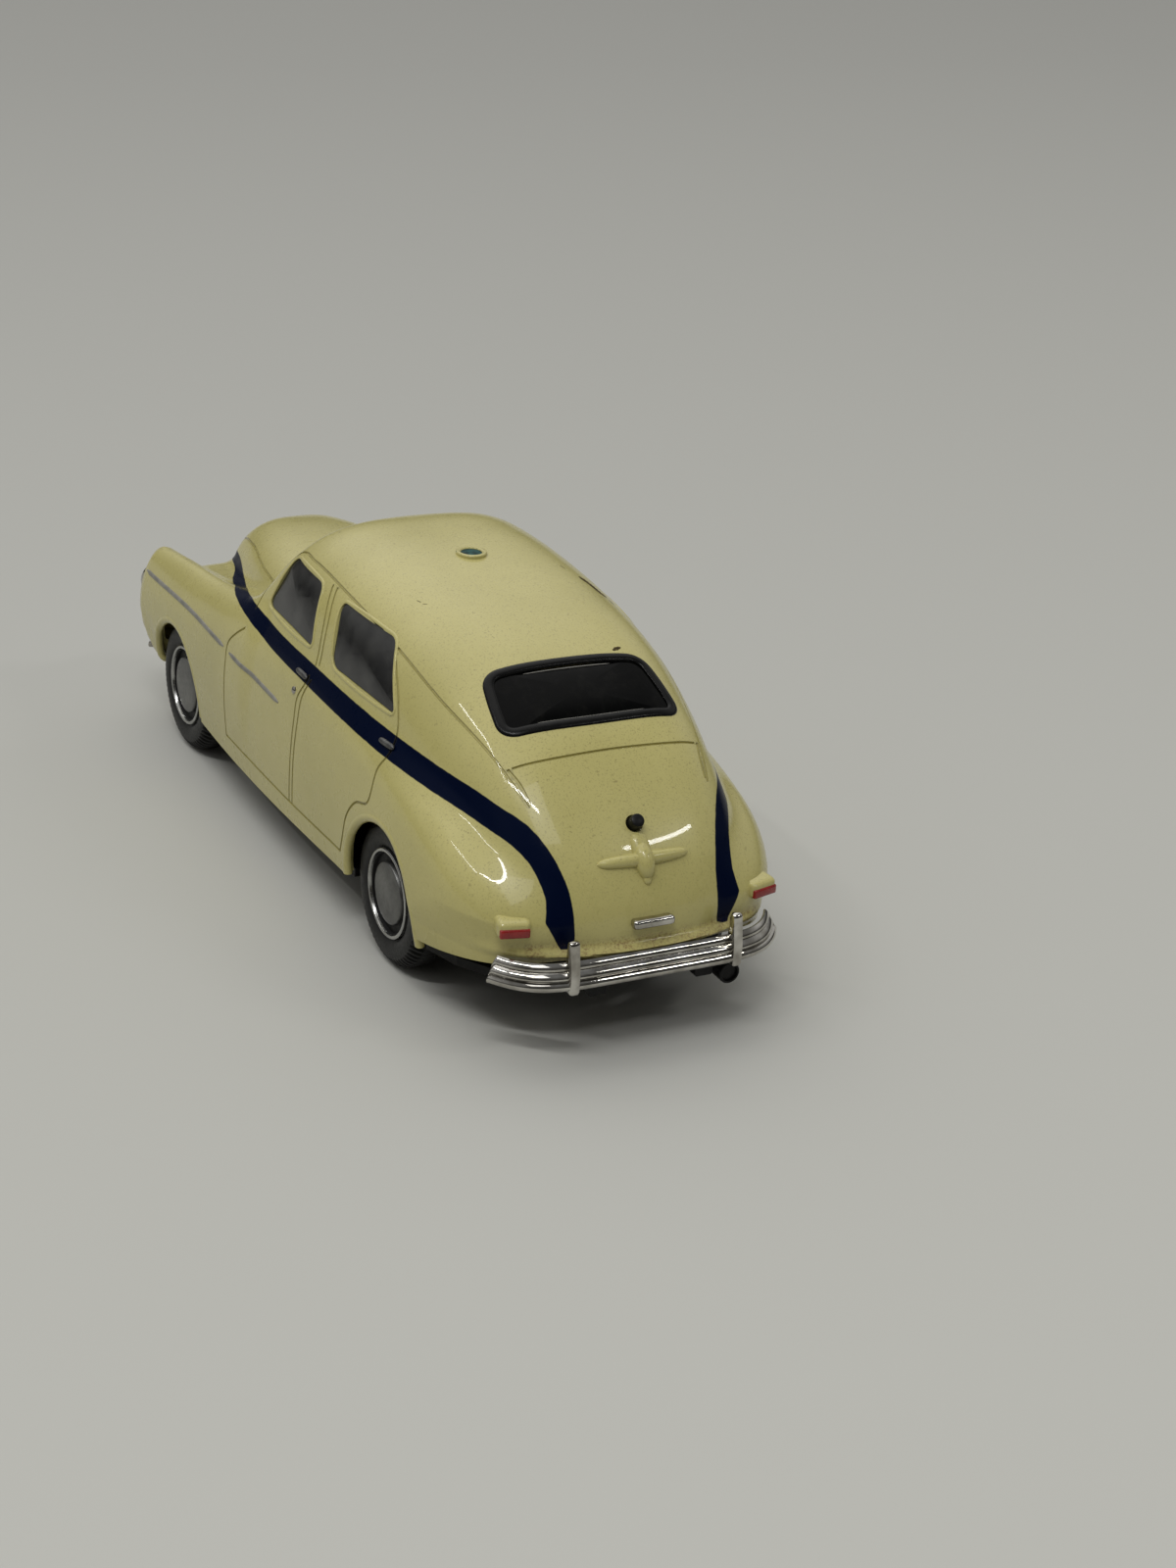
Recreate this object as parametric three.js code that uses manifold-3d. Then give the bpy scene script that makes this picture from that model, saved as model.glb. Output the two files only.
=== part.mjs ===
// Die-cast toy saloon in 1:43: a hollow cast body on a pressed base, with two rolling wheelsets.
// Millimetres. X points forward, Y to the car's left, Z up. The tyres stand on Z = 0.
import * as THREE from 'three';
import { mergeVertices } from 'three/addons/utils/BufferGeometryUtils.js';
import Module from 'manifold-3d';

const wasm = await Module();
wasm.setup();

// Overall sizes
const HALF_LENGTH = 54.25; // bumper to bumper, halved
const BODY_HALF_WIDTH = 19.5;
const ROOF_Z = 38.2;
const BELT_Z = 26.6; // top of the doors, under the window frames
const BONNET_Z = 28.1; // at the windscreen
const WING_Z = 25.4; // crown of the front wings beside the windscreen

// Clearances
const FIT_GAP = 0.1; // between flat or concentric seats
const LOOSE_GAP = 0.3; // between curved seats
const RUN_GAP = 0.11; // axle in its bearing, on the radius

// Wheels and axles
const FRONT_OVERHANG = 17.85; // front axle behind the front bumper's face
const REAR_OVERHANG = 27.75;
const AXLE_FRONT_X = HALF_LENGTH - FRONT_OVERHANG;
const AXLE_REAR_X = REAR_OVERHANG - HALF_LENGTH;
const AXLE_RADIUS = 0.75;
const WHEEL_SIDES = 24;
const WHEEL_INSET = 1.3; // hub caps' faces inside the body's half width
const WHEEL_FACE_Y = BODY_HALF_WIDTH - WHEEL_INSET;
const TYRE_RADIUS = 8.3;
const TYRE_WIDTH = 4.4;
const TYRE_INSET = 0.2; // tyre wall behind the hub cap's face
const RIM_RADIUS = 5.0;
const RIM_LIP = 0.5; // width of the plated ring
const HUB_CAP_RADIUS = 3.85;
const RIM_RECESS = 0.9; // depth of the dark ring round the hub cap
const RIM_WALL = 1.5; // hub cap over the end of the axle
const RIM_WIDTH = 4.2;
const RIM_EDGE = 0.2; // bevels, and the ring behind the hub cap's face
const TYRE_SHOULDER = 1.2;
const AXLE_Z = TYRE_RADIUS * Math.cos(Math.PI / WHEEL_SIDES);

// Wheel arches, each a circle set a little off its axle
const ARCH_FRONT_RADIUS = 9.0;
const ARCH_FRONT_SHIFT_X = 0.9;
const ARCH_REAR_RADIUS = 9.75;
const ARCH_REAR_SHIFT_X = -0.9;
const ARCH_DROP = 0.6; // centre of the arch below the axle

// Cast body
const BODY_WALL = 1.2;
const NOSE_SETBACK = 2.7; // wing nose behind the bumper's face
const TAIL_SETBACK = 2.65;
const TUCK_Z = 14.5; // below here the ends draw in behind the bumpers
const ROOF_BOSS_X = -6.2;
const ROOF_BOSS_RADIUS = 1.75;
const ROOF_BOSS_HEIGHT = 0.35;
const REAR_WING_BEHIND_AXLE = 5.5;
const REAR_WING_INSET = 6.7; // middle of the rear wing's bulge inside the body's half width
const REAR_WING_Z = 10.5;
const REAR_WING_SIZES = [17.2, 6.4, 10.2]; // half sizes of the bulge
const FRONT_WING_INSET = 3.6;
const FRONT_WING_ACROSS = 3.0;
const FRONT_WING_RISE = 8;
const CABIN_POWER = 3.6; // squareness of the cabin's section
const BOOT_POWER = 5;
const BOOT_SETBACK = 16.25; // the section squares up from here, inside the rear bumper's face
const BOOT_GROWTH = 10; // length over which it does
const BOOT_X = BOOT_SETBACK - HALF_LENGTH;
const POST_RADIUS = 2.1;
const POST_FRONT_SETBACK = 10.25; // screw posts inside the bumpers' faces
const POST_REAR_SETBACK = 11.25;
const POST_FRONT_X = HALF_LENGTH - POST_FRONT_SETBACK;
const POST_REAR_X = POST_REAR_SETBACK - HALF_LENGTH;
const HANDLE_LENGTH = 2.8;
const HANDLE_THICKNESS = 0.55;
const HANDLE_PROUD = 0.45;
const HANDLE_DROP = 2.2; // below the belt
const HANDLE_STATIONS_X = [-2.4, -23.8];

// Windows: corners as (x, z) on the sides, rounded by one radius
const WINDOW_CORNER = 1.3;
const WINDOW_RAIL = 0.6; // door rail between the belt and the glass
const WINDOW_TOP = 4.7; // below the roof
const FRONT_WINDOW_X = [12.4, -2.1, 0.7, 10.6]; // lower front, lower rear, upper rear, upper front
const REAR_WINDOW_X = [-7.7, -23.1, -17.3, -4.6];
const BACKLIGHT_X = -33.6; // middle of the rear window
const BACKLIGHT_HEIGHT = 8.0; // along the slope
const BACKLIGHT_WIDTH_LOW = 20.2;
const BACKLIGHT_WIDTH_TOP = 18.2;
const BACKLIGHT_CORNER = 1.9;
const SCREEN_BEHIND_AXLE = 16.4; // foot of the windscreen on the centre line
const SCREEN_X = AXLE_FRONT_X - SCREEN_BEHIND_AXLE;
const SCREEN_LEAN = 55; // degrees from level to the pane's normal
const SCREEN_SWEEP = 0.14; // how far each pane falls back, per unit of width
const SCREEN_FOOT = 2.4; // bare cowl under the panes, along the slope
const SCREEN_HEIGHT = 7.6;
const SCREEN_POST = 0.8; // half of the centre post
const SCREEN_WIDTH_LOW = 13.2;
const SCREEN_WIDTH_TOP = 10.2;
const PANE_CUT = BODY_WALL + 1.5; // reach of the cut to each side of the surface

// Clear moulding
const GLASS_WALL = 0.7;

// Base plate
const BASE_TOP_Z = 7.0;
const BASE_THICKNESS = 1.0;
const BASE_SETBACK = 7.75; // ends of the base plate inside the bumpers' faces
const BASE_END_X = HALF_LENGTH - BASE_SETBACK;
const WELL_WALL = 0.8;
const WELL_INSET = 7; // outer face of the wheel well's wall inside the body's half width
const WELL_Y = BODY_HALF_WIDTH - WELL_INSET;
const WELL_HEIGHT = 9.0;
const WELL_GAP = 0.9; // round the tyre
const BEARING_LENGTH = 3.6;
const BEARING_ROOF = 1.2; // metal over the bore
const SHAFT_RADIUS = 1.0;
const PAD_X = -5;
const PAD_LENGTH = 14;
const PAD_WIDTH = 10;
const PAD_DROP = 1.3;
const BANJO_SIZES = [2.6, 2.8, 1.2]; // half sizes of the final-drive bulge
const SUMP_BEHIND_AXLE = 4;
const SUMP_LENGTH = 7;
const SUMP_HALF_WIDTH = 2.6;
const SUMP_DROP = 1;

// Screws
const SCREW_RADIUS = 0.75;
const SCREW_LENGTH = 6;
const SCREW_HEAD_RADIUS = 1.6;
const SCREW_HEAD_HEIGHT = 0.8;

// Cabin
const FLOOR_THICKNESS = 1.0;
const FLOOR_HALF_WIDTH = 15.4;
const BENCH_HALF_WIDTH = 14.2;
const BENCH_DEPTH = 10;
const BENCH_HEIGHT = 15;
const BENCH_CORNER = 0.7;
const FRONT_BENCH_X = -3.5;
const REAR_BENCH_SETBACK = 3.2; // in front of the axle bearing
const SHELF_DROP = 4.2; // below the belt
const SHELF_THICKNESS = 0.8;
const SHELF_LENGTH = 12.2; // behind the axle bearing
const SHELF_LAP = 1.5; // shelf under the bench's back
const SINK = 0.2; // how far joined pieces run into one another
const REAR_BENCH_HALF_WIDTH = 11.2;
const BULKHEAD_BEHIND_AXLE = 11.9;
const BULKHEAD_X = AXLE_FRONT_X - BULKHEAD_BEHIND_AXLE;
const BULKHEAD_THICKNESS = 1.6;
const BULKHEAD_TOP_Z = 19.5;
const DASH_HALF_WIDTH = 10.0;
const DASH_HEIGHT = 3.8;
const DASH_DEPTH = 4.6;
const DASH_CORNER = 0.5;
const STEERING_RADIUS = 3.5;
const STEERING_TUBE = 0.4;
const STEERING_Y = 6.2;
const STEERING_TILT = 18; // degrees that the column rises
const COLUMN_LENGTH = 7.6;
const COLUMN_RADIUS = 0.55;
const COLUMN_TILT = THREE.MathUtils.degToRad(STEERING_TILT);

// Bumpers: a stepped bar bent round the body's ends
const FRONT_BUMPER_INSET = 1.3; // tips inside the body's half width
const REAR_BUMPER_INSET = 2.5;
const FRONT_BUMPER_HALF_WIDTH = BODY_HALF_WIDTH - FRONT_BUMPER_INSET;
const REAR_BUMPER_HALF_WIDTH = BODY_HALF_WIDTH - REAR_BUMPER_INSET;
const BUMPER_WRAP = 4.9; // how far the tips come back
const BUMPER_BEND = 6; // power of the plan curve
const BUMPER_Z = 8.6;
const BUMPER_RIB = 0.9; // height of one rib
const BUMPER_STEP = 0.5; // setback of each rib from the one below
const BUMPER_DEPTH = 0.6;
const BUMPER_BACK = BUMPER_STEP * 2 + BUMPER_DEPTH; // back of the bar behind its face
const BUMPER_HEIGHT = BUMPER_RIB * 3;
const GUARD_Y = 9.4;
const GUARD_WIDTH = 1.15;
const GUARD_TOP_Z = 13.9;
const GUARD_DEPTH = 1.7;
const GUARD_FOOT = 0.5; // below the bar
const GUARD_CORNER = 0.3;

// Ledge of the body over the rear bumper
const LEDGE_Z = BUMPER_Z + BUMPER_HEIGHT;
const LEDGE_REACH = 2.1;
const LEDGE_HEIGHT = 0.6;
const LEDGE_PAST_TIPS = 0.5; // where it has died away, outside the bumper's tips
const LEDGE_HALF_WIDTH = REAR_BUMPER_HALF_WIDTH + LEDGE_PAST_TIPS;
const IRON_Y = 6.2;
const IRON_WIDTH = 2.0;
const IRON_HEIGHT = 1.1;
const IRON_GRIP = 3.0; // length of the iron on the base plate

// Nose
const GRILLE_HALF_WIDTH = 9.6;
const GRILLE_LOW_Z = 12.0;
const GRILLE_HEIGHT = 5.2;
const GRILLE_DEPTH = 1.3;
const GRILLE_SINK = 0.35;
const GRILLE_BARS = 3;
const GRILLE_FRAME = 0.6;
const GRILLE_CORNER = 1.0;
const LAMP_INSET = 3.7; // lamp's middle inside the body's half width
const LAMP_Y = BODY_HALF_WIDTH - LAMP_INSET;
const LAMP_Z = 16.6;
const LAMP_RADIUS = 2.4;
const LAMP_SIDES = 16;
const LAMP_PROUD = 0.4;
const LAMP_DEPTH = 2.4;
const BEZEL_WALL = 0.6;
const LENS_DOME = 0.7;

// Tail
const TAIL_LAMP_INSET = 5.2;
const TAIL_LAMP_Y = BODY_HALF_WIDTH - TAIL_LAMP_INSET;
const TAIL_LAMP_Z = 14.5;
const TAIL_LAMP_WIDTH = 3.4;
const TAIL_LAMP_HEIGHT = 2.0;
const TAIL_LAMP_PROUD = 0.9;
const TAIL_LAMP_TURN = 14; // degrees outward
const TAIL_LENS_BORDER = 0.15;
const TAIL_LENS_HEIGHT = 0.9;
const TAIL_LENS_DROP = 0.4; // below the box's middle
const TAIL_LENS_THICKNESS = 0.4;
const PLATE_LAMP_Z = 14.1;
const PLATE_LAMP_WIDTH = 4.8;
const PLATE_LAMP_HEIGHT = 1.05;
const PLATE_LAMP_DEPTH = 0.7;
const PLATE_LAMP_CORNER = 0.25;
const PIN_RADIUS = 0.35;
const PEG_Z = 22.7;
const PEG_RADIUS = 0.75;
const PEG_PROUD = 1.1;
const BOOT_HANDLE_Z = 19.8;
const BOOT_HANDLE_SPAN = 5.2; // from the middle to a wing tip
const BOOT_HANDLE_HEIGHT = 0.8;
const BOOT_HANDLE_PROUD = 0.85;
const BOOT_HANDLE_BOSS = 1.25;
const PIPE_RADIUS = 1.2;
const PIPE_Y = -9.9;
const PIPE_Z = 6.3;
const PIPE_WALL = 0.3;
const PIPE_SOCKET = 2.5;
const PIPE_SETBACK = 2.05; // pipe end inside the rear bumper's face
const PIPE_END_X = PIPE_SETBACK - HALF_LENGTH;

const NOSE_X = HALF_LENGTH - NOSE_SETBACK;
const TAIL_X = TAIL_SETBACK - HALF_LENGTH;

// Body lines as knots: share of the half length from the middle, then a value from the driving size
const SIDE_WIDTH = [[-0.977, -2.9], [-0.848, -1.6], [-0.7, -0.7], [-0.461, -0.2], [-0.092, 0], [0.221, -0.1],
  [0.516, -0.5], [0.774, -1.2], [0.959, -2.3]]; // from the half width
const SIDE_TOP = [[-0.977, -11.4], [-0.848, -8], [-0.7, -5], [-0.461, -1.6], [-0.092, 0], [0.221, -0.3],
  [0.406, -2], [0.59, -4.4], [0.774, -6], [0.959, -7.3]]; // from the belt
// From the roof's top
const ROOF = [[-0.977, -19.5], [-0.848, -13.2], [-0.737, -8.9], [-0.608, -5.6], [-0.461, -2.8],
  [-0.276, -0.9], [-0.092, -0.1], [0.037, 0], [0.147, -0.4], [0.258, -2.2], [0.369, -5]];
const CABIN_WIDTH = [[-0.977, -8.3], [-0.848, -6.6], [-0.7, -4.3], [-0.516, -2.5], [-0.276, -1.7], [0, -1.6],
  [0.276, -2.1], [0.461, -2.7]]; // from the half width
const BONNET_WIDTH = [[0.092, -4.3], [0.332, -5.3], [0.553, -7.7], [0.737, -9.8], [0.866, -11.3],
  [0.995, -12.9]]; // from the half width
const BONNET_TOP = [[0.092, 0.2], [0.332, 0], [0.553, -0.3], [0.737, -1.1], [0.848, -2.3],
  [0.959, -4.8]]; // from the bonnet height
const WING_TOP = [[0.184, 0], [0.406, -0.8], [0.627, -1.8], [0.811, -2.8],
  [0.959, -3.8]]; // from the wing height
const LOWER_EDGE = [[-0.977, 10.8], [-0.848, 9.4], [-0.7, 8.2], [-0.313, 7], [0.516, 6.5], [0.7, 7.6],
  [0.848, 8.6], [0.977, 9.2]]; // above the floor

// Value of a body line at x: cubic between its knots and straight past the ends
function through(knots, place) {
  const x = place / HALF_LENGTH;
  const last = knots.length - 1;
  const secant = (i) => (knots[i + 1][1] - knots[i][1]) / (knots[i + 1][0] - knots[i][0]);
  const slope = (i) => {
    if (i === 0) return secant(0);
    if (i === last) return secant(last - 1);
    return (secant(i - 1) + secant(i)) / 2;
  };
  if (x <= knots[0][0]) return knots[0][1] + slope(0) * (x - knots[0][0]);
  if (x >= knots[last][0]) return knots[last][1] + slope(last) * (x - knots[last][0]);
  let i = 0;
  while (x > knots[i + 1][0]) i += 1;
  const span = knots[i + 1][0] - knots[i][0];
  const t = (x - knots[i][0]) / span;
  const rise = knots[i][1] * (1 + 2 * t) * (1 - t) ** 2 + slope(i) * span * t * (1 - t) ** 2;
  return rise + knots[i + 1][1] * (3 - 2 * t) * t ** 2 - slope(i + 1) * span * (1 - t) * t ** 2;
}

// Least or greatest of two values, blended where they are closer than k
function softMin(a, b, k) {
  const near = Math.max(k - Math.abs(a - b), 0) / k;
  return Math.min(a, b) - (near * near * k) / 4;
}
const softMax = (a, b, k) => -softMin(-a, -b, k);

// How far the ends draw in low down, behind the bumpers
const lowTuck = (z) => 0.05 * Math.max(TUCK_Z - z, 0) ** 2;

// How far the tail reaches out over the rear bumper, dying away at the bumper's tips
function ledge(y, z) {
  const level = (z - LEDGE_Z) / LEDGE_HEIGHT;
  const fade = Math.max(1 - (y / LEDGE_HALF_WIDTH) ** 6, 0);
  return LEDGE_REACH * Math.exp(-(level ** 2)) * fade;
}

// Doors, sills and flanks: upright sides that lean in above and below the waist
function flanks(x, y, z) {
  const waist = 14;
  const lean = z < waist ? 1.3 * ((waist - z) / waist) ** 2 : 1.5 * ((z - waist) / 12) ** 2;
  const side = y - BODY_HALF_WIDTH - through(SIDE_WIDTH, x) + lean;
  const front = x - NOSE_X + 0.003 * y ** 2 + 0.012 * (z - 13) ** 2 + lowTuck(z);
  const tail = TAIL_X + 0.008 * y ** 2 + 0.012 * (z - 12) ** 2 + lowTuck(z) - ledge(y, z) - x;
  const low = THREE.MathUtils.clamp((TUCK_Z - z) / 4, 0, 1);
  const plan = softMax(softMax(side, front, 5 + 9 * low), tail, 9 + 7 * low);
  return softMax(plan, z - BELT_Z - through(SIDE_TOP, x), 5);
}

// Bonnet: a long dome between the wings that ends inside the cabin
function bonnet(x, y, z) {
  const side = y - BODY_HALF_WIDTH - through(BONNET_WIDTH, x);
  const top = z - BONNET_Z - through(BONNET_TOP, x) + 0.012 * y ** 2;
  const nose = x - NOSE_X - 0.6 + 0.016 * (z - 14) ** 2 + 0.012 * y ** 2;
  return Math.max(softMax(softMax(side, top, 7), nose, 6), SCREEN_X - 12 - x);
}

// Cabin and fastback: a superellipse tube under the roof line, cut by the two windscreen planes
function cabin(x, y, z) {
  const base = 10;
  const boot = THREE.MathUtils.smoothstep(BOOT_X - x, 0, BOOT_GROWTH);
  const power = CABIN_POWER + (BOOT_POWER - CABIN_POWER) * boot;
  const across = BODY_HALF_WIDTH + through(CABIN_WIDTH, x);
  const rise = Math.max(ROOF_Z + through(ROOF, x) - base, 1);
  const lift = Math.max(z - base, 0);
  const gauge = ((y / across) ** power + (lift / rise) ** power) ** (1 / power);
  const tube = (gauge - 1) * Math.min(across, rise);
  const lean = THREE.MathUtils.degToRad(SCREEN_LEAN);
  const screen = (x + SCREEN_SWEEP * y - SCREEN_X) * Math.sin(lean) + (z - BELT_Z + 1) * Math.cos(lean);
  const back = TAIL_X - 0.3 + 0.01 * y ** 2 + 0.034 * Math.max(z - 13, 0) ** 2 - x;
  return softMax(softMax(tube, screen, 1.8), back, 6);
}

// Front wing: a rounded crown beside the bonnet that ends in an upright lamp face
function frontWing(x, y, z) {
  const off = y - BODY_HALF_WIDTH + FRONT_WING_INSET;
  const lift = z - WING_Z - through(WING_TOP, x) + FRONT_WING_RISE;
  const crown = (Math.hypot(off / FRONT_WING_ACROSS, lift / FRONT_WING_RISE) - 1) * FRONT_WING_ACROSS;
  const face = x - NOSE_X - 0.6 + 0.025 * off ** 2 + 0.018 * (z - 15.5) ** 2 + 2 * lowTuck(z);
  return softMax(softMax(crown, face, 1.8), SCREEN_X - 8 - x, 3);
}

// Rear wing: a long bulge round the wheel
function rearWing(x, y, z) {
  const [long, wide, high] = REAR_WING_SIZES;
  const along = (x - AXLE_REAR_X + REAR_WING_BEHIND_AXLE) / long;
  const off = (y - BODY_HALF_WIDTH + REAR_WING_INSET) / wide;
  return (Math.hypot(along, off, (z - REAR_WING_Z) / high) - 1) * wide;
}

// Distance-like value of the whole body, below zero inside
function bodyField(x, side, z) {
  const y = Math.abs(side);
  let value = softMin(flanks(x, y, z), bonnet(x, y, z), 1.2);
  value = softMin(value, cabin(x, y, z), 1.6);
  value = softMin(value, frontWing(x, y, z), 2);
  return softMin(value, rearWing(x, y, z), 3);
}

const FORWARD = new THREE.Vector3(1, 0, 0);
const REARWARD = new THREE.Vector3(-1, 0, 0);
const LEFTWARD = new THREE.Vector3(0, 1, 0);
const UPWARD = new THREE.Vector3(0, 0, 1);

// Point where a ray from inside the body comes within depth of its surface
function surfacePoint(from, way, depth = 0) {
  let near = 0;
  let far = 46;
  for (let step = 0; step < 30; step += 1) {
    const middle = (near + far) / 2;
    const p = from.clone().addScaledVector(way, middle);
    if (bodyField(p.x, p.y, p.z) < -depth) near = middle;
    else far = middle;
  }
  return from.clone().addScaledVector(way, near);
}

// Outward direction of the body's surface
function surfaceNormal(p) {
  const h = 0.02;
  const slope = (way) => {
    const ahead = p.clone().addScaledVector(way, h);
    const behind = p.clone().addScaledVector(way, -h);
    return bodyField(ahead.x, ahead.y, ahead.z) - bodyField(behind.x, behind.y, behind.z);
  };
  return new THREE.Vector3(slope(FORWARD), slope(LEFTWARD), slope(UPWARD)).normalize();
}

// Rays round the plan: a fan at the nose, straight along the side, a fan at the tail
const HEART_Z = 11;
const NOSE_TURNS = [0, 14, 25, 33, 37.5, 41.5, 47, 63]; // degrees, closest on the wing's face
const TAIL_TURNS = [105, 120, 135, 150, 165, 180];
const SIDE_STEPS = 17;
const RISE_TURNS = [0, 5, 16, 26, 33, 38.5, 42, 48, 57, 66, 74, 82, 90]; // closest along the front wings
const SPINE_FRONT_SETBACK = 18;
const SPINE_REAR_SETBACK = 15.6;
const SPINE_FRONT_X = NOSE_X - SPINE_FRONT_SETBACK;
const SPINE_REAR_X = TAIL_X + SPINE_REAR_SETBACK;

function planRays() {
  const rays = NOSE_TURNS.map((turn) => [SPINE_FRONT_X, turn]);
  for (let i = 0; i <= SIDE_STEPS; i += 1) {
    rays.push([SPINE_FRONT_X + ((SPINE_REAR_X - SPINE_FRONT_X) * i) / SIDE_STEPS, 90]);
  }
  rays.push(...TAIL_TURNS.map((turn) => [SPINE_REAR_X, turn]));
  return rays.map(([x, turn]) => {
    const angle = THREE.MathUtils.degToRad(turn);
    return { x, way: new THREE.Vector3(Math.cos(angle), Math.sin(angle), 0) };
  });
}

// Closed solid of the body at a depth under its surface, down to the lower edge or to a flat floor
function bodySolid(depth, floorZ = null) {
  const columns = planRays().map(({ x, way }) => {
    const probe = surfacePoint(new THREE.Vector3(x, 0, HEART_Z), way, depth);
    const lowZ = floorZ === null ? through(LOWER_EDGE, probe.x) : floorZ;
    const points = [new THREE.Vector3(x, 0, lowZ)];
    for (const share of [0, 0.5]) {
      points.push(surfacePoint(new THREE.Vector3(x, 0, lowZ + share * (HEART_Z - lowZ)), way, depth));
    }
    for (const turn of RISE_TURNS) {
      const rise = THREE.MathUtils.degToRad(turn);
      const up = way.clone().multiplyScalar(Math.cos(rise)).setZ(Math.sin(rise));
      points.push(surfacePoint(new THREE.Vector3(x, 0, HEART_Z), up, depth));
    }
    const ends = Math.abs(way.y) < 1e-9;
    points.forEach((p, j) => {
      if (ends || j === points.length - 1) p.y = 0;
    });
    return points;
  });
  const corners = [];
  const quad = (a, b, c, d) => corners.push(a, b, c, a, c, d);
  for (let i = 0; i + 1 < columns.length; i += 1) {
    for (let j = 0; j + 1 < columns[i].length; j += 1) {
      quad(columns[i][j], columns[i + 1][j], columns[i + 1][j + 1], columns[i][j + 1]);
    }
  }
  const positions = [];
  for (let i = 0; i < corners.length; i += 3) {
    for (const k of [0, 1, 2]) positions.push(corners[i + k].x, corners[i + k].y, corners[i + k].z);
    for (const k of [0, 2, 1]) positions.push(corners[i + k].x, -corners[i + k].y, corners[i + k].z);
  }
  const geometry = new THREE.BufferGeometry();
  geometry.setAttribute('position', new THREE.Float32BufferAttribute(positions, 3));
  return solid(geometry);
}

// Boolean solid of a closed geometry
function solid(geometry) {
  const bare = new THREE.BufferGeometry();
  bare.setAttribute('position', geometry.getAttribute('position'));
  if (geometry.index) bare.setIndex(geometry.index);
  const welded = mergeVertices(bare, 1e-4);
  const corners = welded.index.array;
  const kept = [];
  for (let i = 0; i < corners.length; i += 3) {
    const [a, b, c] = [corners[i], corners[i + 1], corners[i + 2]];
    if (a !== b && b !== c && c !== a) kept.push(a, b, c);
  }
  const vertProperties = new Float32Array(welded.getAttribute('position').array);
  return new wasm.Manifold(new wasm.Mesh({ numProp: 3, vertProperties, triVerts: new Uint32Array(kept) }));
}

// Geometry of a boolean solid
function meshed(body) {
  const mesh = body.getMesh();
  const geometry = new THREE.BufferGeometry();
  geometry.setAttribute('position', new THREE.BufferAttribute(new Float32Array(mesh.vertProperties), 3));
  geometry.setIndex(new THREE.BufferAttribute(new Uint32Array(mesh.triVerts), 1));
  geometry.computeVertexNormals();
  return geometry;
}

const joined = (...bodies) => bodies.reduce((whole, body) => whole.add(body));
const cut = (body, ...tools) => tools.reduce((rest, tool) => rest.subtract(tool), body);

// Box between two corners
function box(x0, x1, y0, y1, z0, z1) {
  const geometry = new THREE.BoxGeometry(x1 - x0, y1 - y0, z1 - z0);
  return solid(geometry.translate((x0 + x1) / 2, (y0 + y1) / 2, (z0 + z1) / 2));
}

// Round bar between two points, its flats square to the axes
function bar(from, to, radius, sides = 16) {
  const way = new THREE.Vector3().subVectors(to, from);
  const geometry = new THREE.CylinderGeometry(radius, radius, way.length(), sides, 1, false, Math.PI / sides);
  const turn = new THREE.Quaternion().setFromUnitVectors(new THREE.Vector3(0, 1, 0), way.clone().normalize());
  geometry.applyQuaternion(turn);
  return solid(geometry.translate((from.x + to.x) / 2, (from.y + to.y) / 2, (from.z + to.z) / 2));
}

// Closed outline with every corner rounded
function roundedShape(points, radius, steps = 3) {
  const shape = new THREE.Shape();
  points.forEach(([x, y], i) => {
    const corner = new THREE.Vector2(x, y);
    const last = points[(i + points.length - 1) % points.length];
    const next = points[(i + 1) % points.length];
    const before = new THREE.Vector2(...last).sub(corner).normalize();
    const after = new THREE.Vector2(...next).sub(corner).normalize();
    const start = corner.clone().addScaledVector(before, radius);
    const end = corner.clone().addScaledVector(after, radius);
    if (i === 0) shape.moveTo(start.x, start.y);
    else shape.lineTo(start.x, start.y);
    for (let k = 1; k <= steps; k += 1) {
      const t = k / steps;
      const p = start.clone().multiplyScalar((1 - t) ** 2);
      p.addScaledVector(corner, 2 * t * (1 - t)).addScaledVector(end, t ** 2);
      shape.lineTo(p.x, p.y);
    }
  });
  return shape;
}

// Outline pushed along the third axis of a frame, from a start to an end height
function pushed(shape, start, end, frame) {
  const geometry = new THREE.ExtrudeGeometry(shape, { depth: end - start, bevelEnabled: false });
  return solid(geometry.translate(0, 0, start).applyMatrix4(frame));
}

const SIDE_FRAME = new THREE.Matrix4().makeBasis(
  new THREE.Vector3(1, 0, 0),
  new THREE.Vector3(0, 0, 1),
  new THREE.Vector3(0, -1, 0),
);
const FRONT_FRAME = new THREE.Matrix4().makeBasis(
  new THREE.Vector3(0, 1, 0),
  new THREE.Vector3(0, 0, 1),
  new THREE.Vector3(1, 0, 0),
);

// Side view outline pushed across the car, the same on both sides
const acrossCar = (shape, halfWidth) => pushed(shape, -halfWidth, halfWidth, SIDE_FRAME);

function sideWindow(xs) {
  const low = BELT_Z + WINDOW_RAIL;
  const top = ROOF_Z - WINDOW_TOP;
  const outline = [[xs[0], low], [xs[1], low], [xs[2], top], [xs[3], top]].reverse();
  return acrossCar(roundedShape(outline, WINDOW_CORNER), BODY_HALF_WIDTH);
}

// Frame on the sloping back, looking out of the car
function backlightFrame() {
  const middle = surfacePoint(new THREE.Vector3(BACKLIGHT_X, 0, HEART_Z), UPWARD);
  const out = surfaceNormal(middle);
  const left = new THREE.Vector3(0, -1, 0);
  const up = new THREE.Vector3().crossVectors(out, left);
  return new THREE.Matrix4().makeBasis(left, up, out).setPosition(middle);
}

function backlight() {
  const half = BACKLIGHT_HEIGHT / 2;
  const low = BACKLIGHT_WIDTH_LOW / 2;
  const top = BACKLIGHT_WIDTH_TOP / 2;
  const shape = roundedShape([[-low, -half], [low, -half], [top, half], [-top, half]], BACKLIGHT_CORNER);
  return pushed(shape, -PANE_CUT, PANE_CUT, backlightFrame());
}

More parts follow.
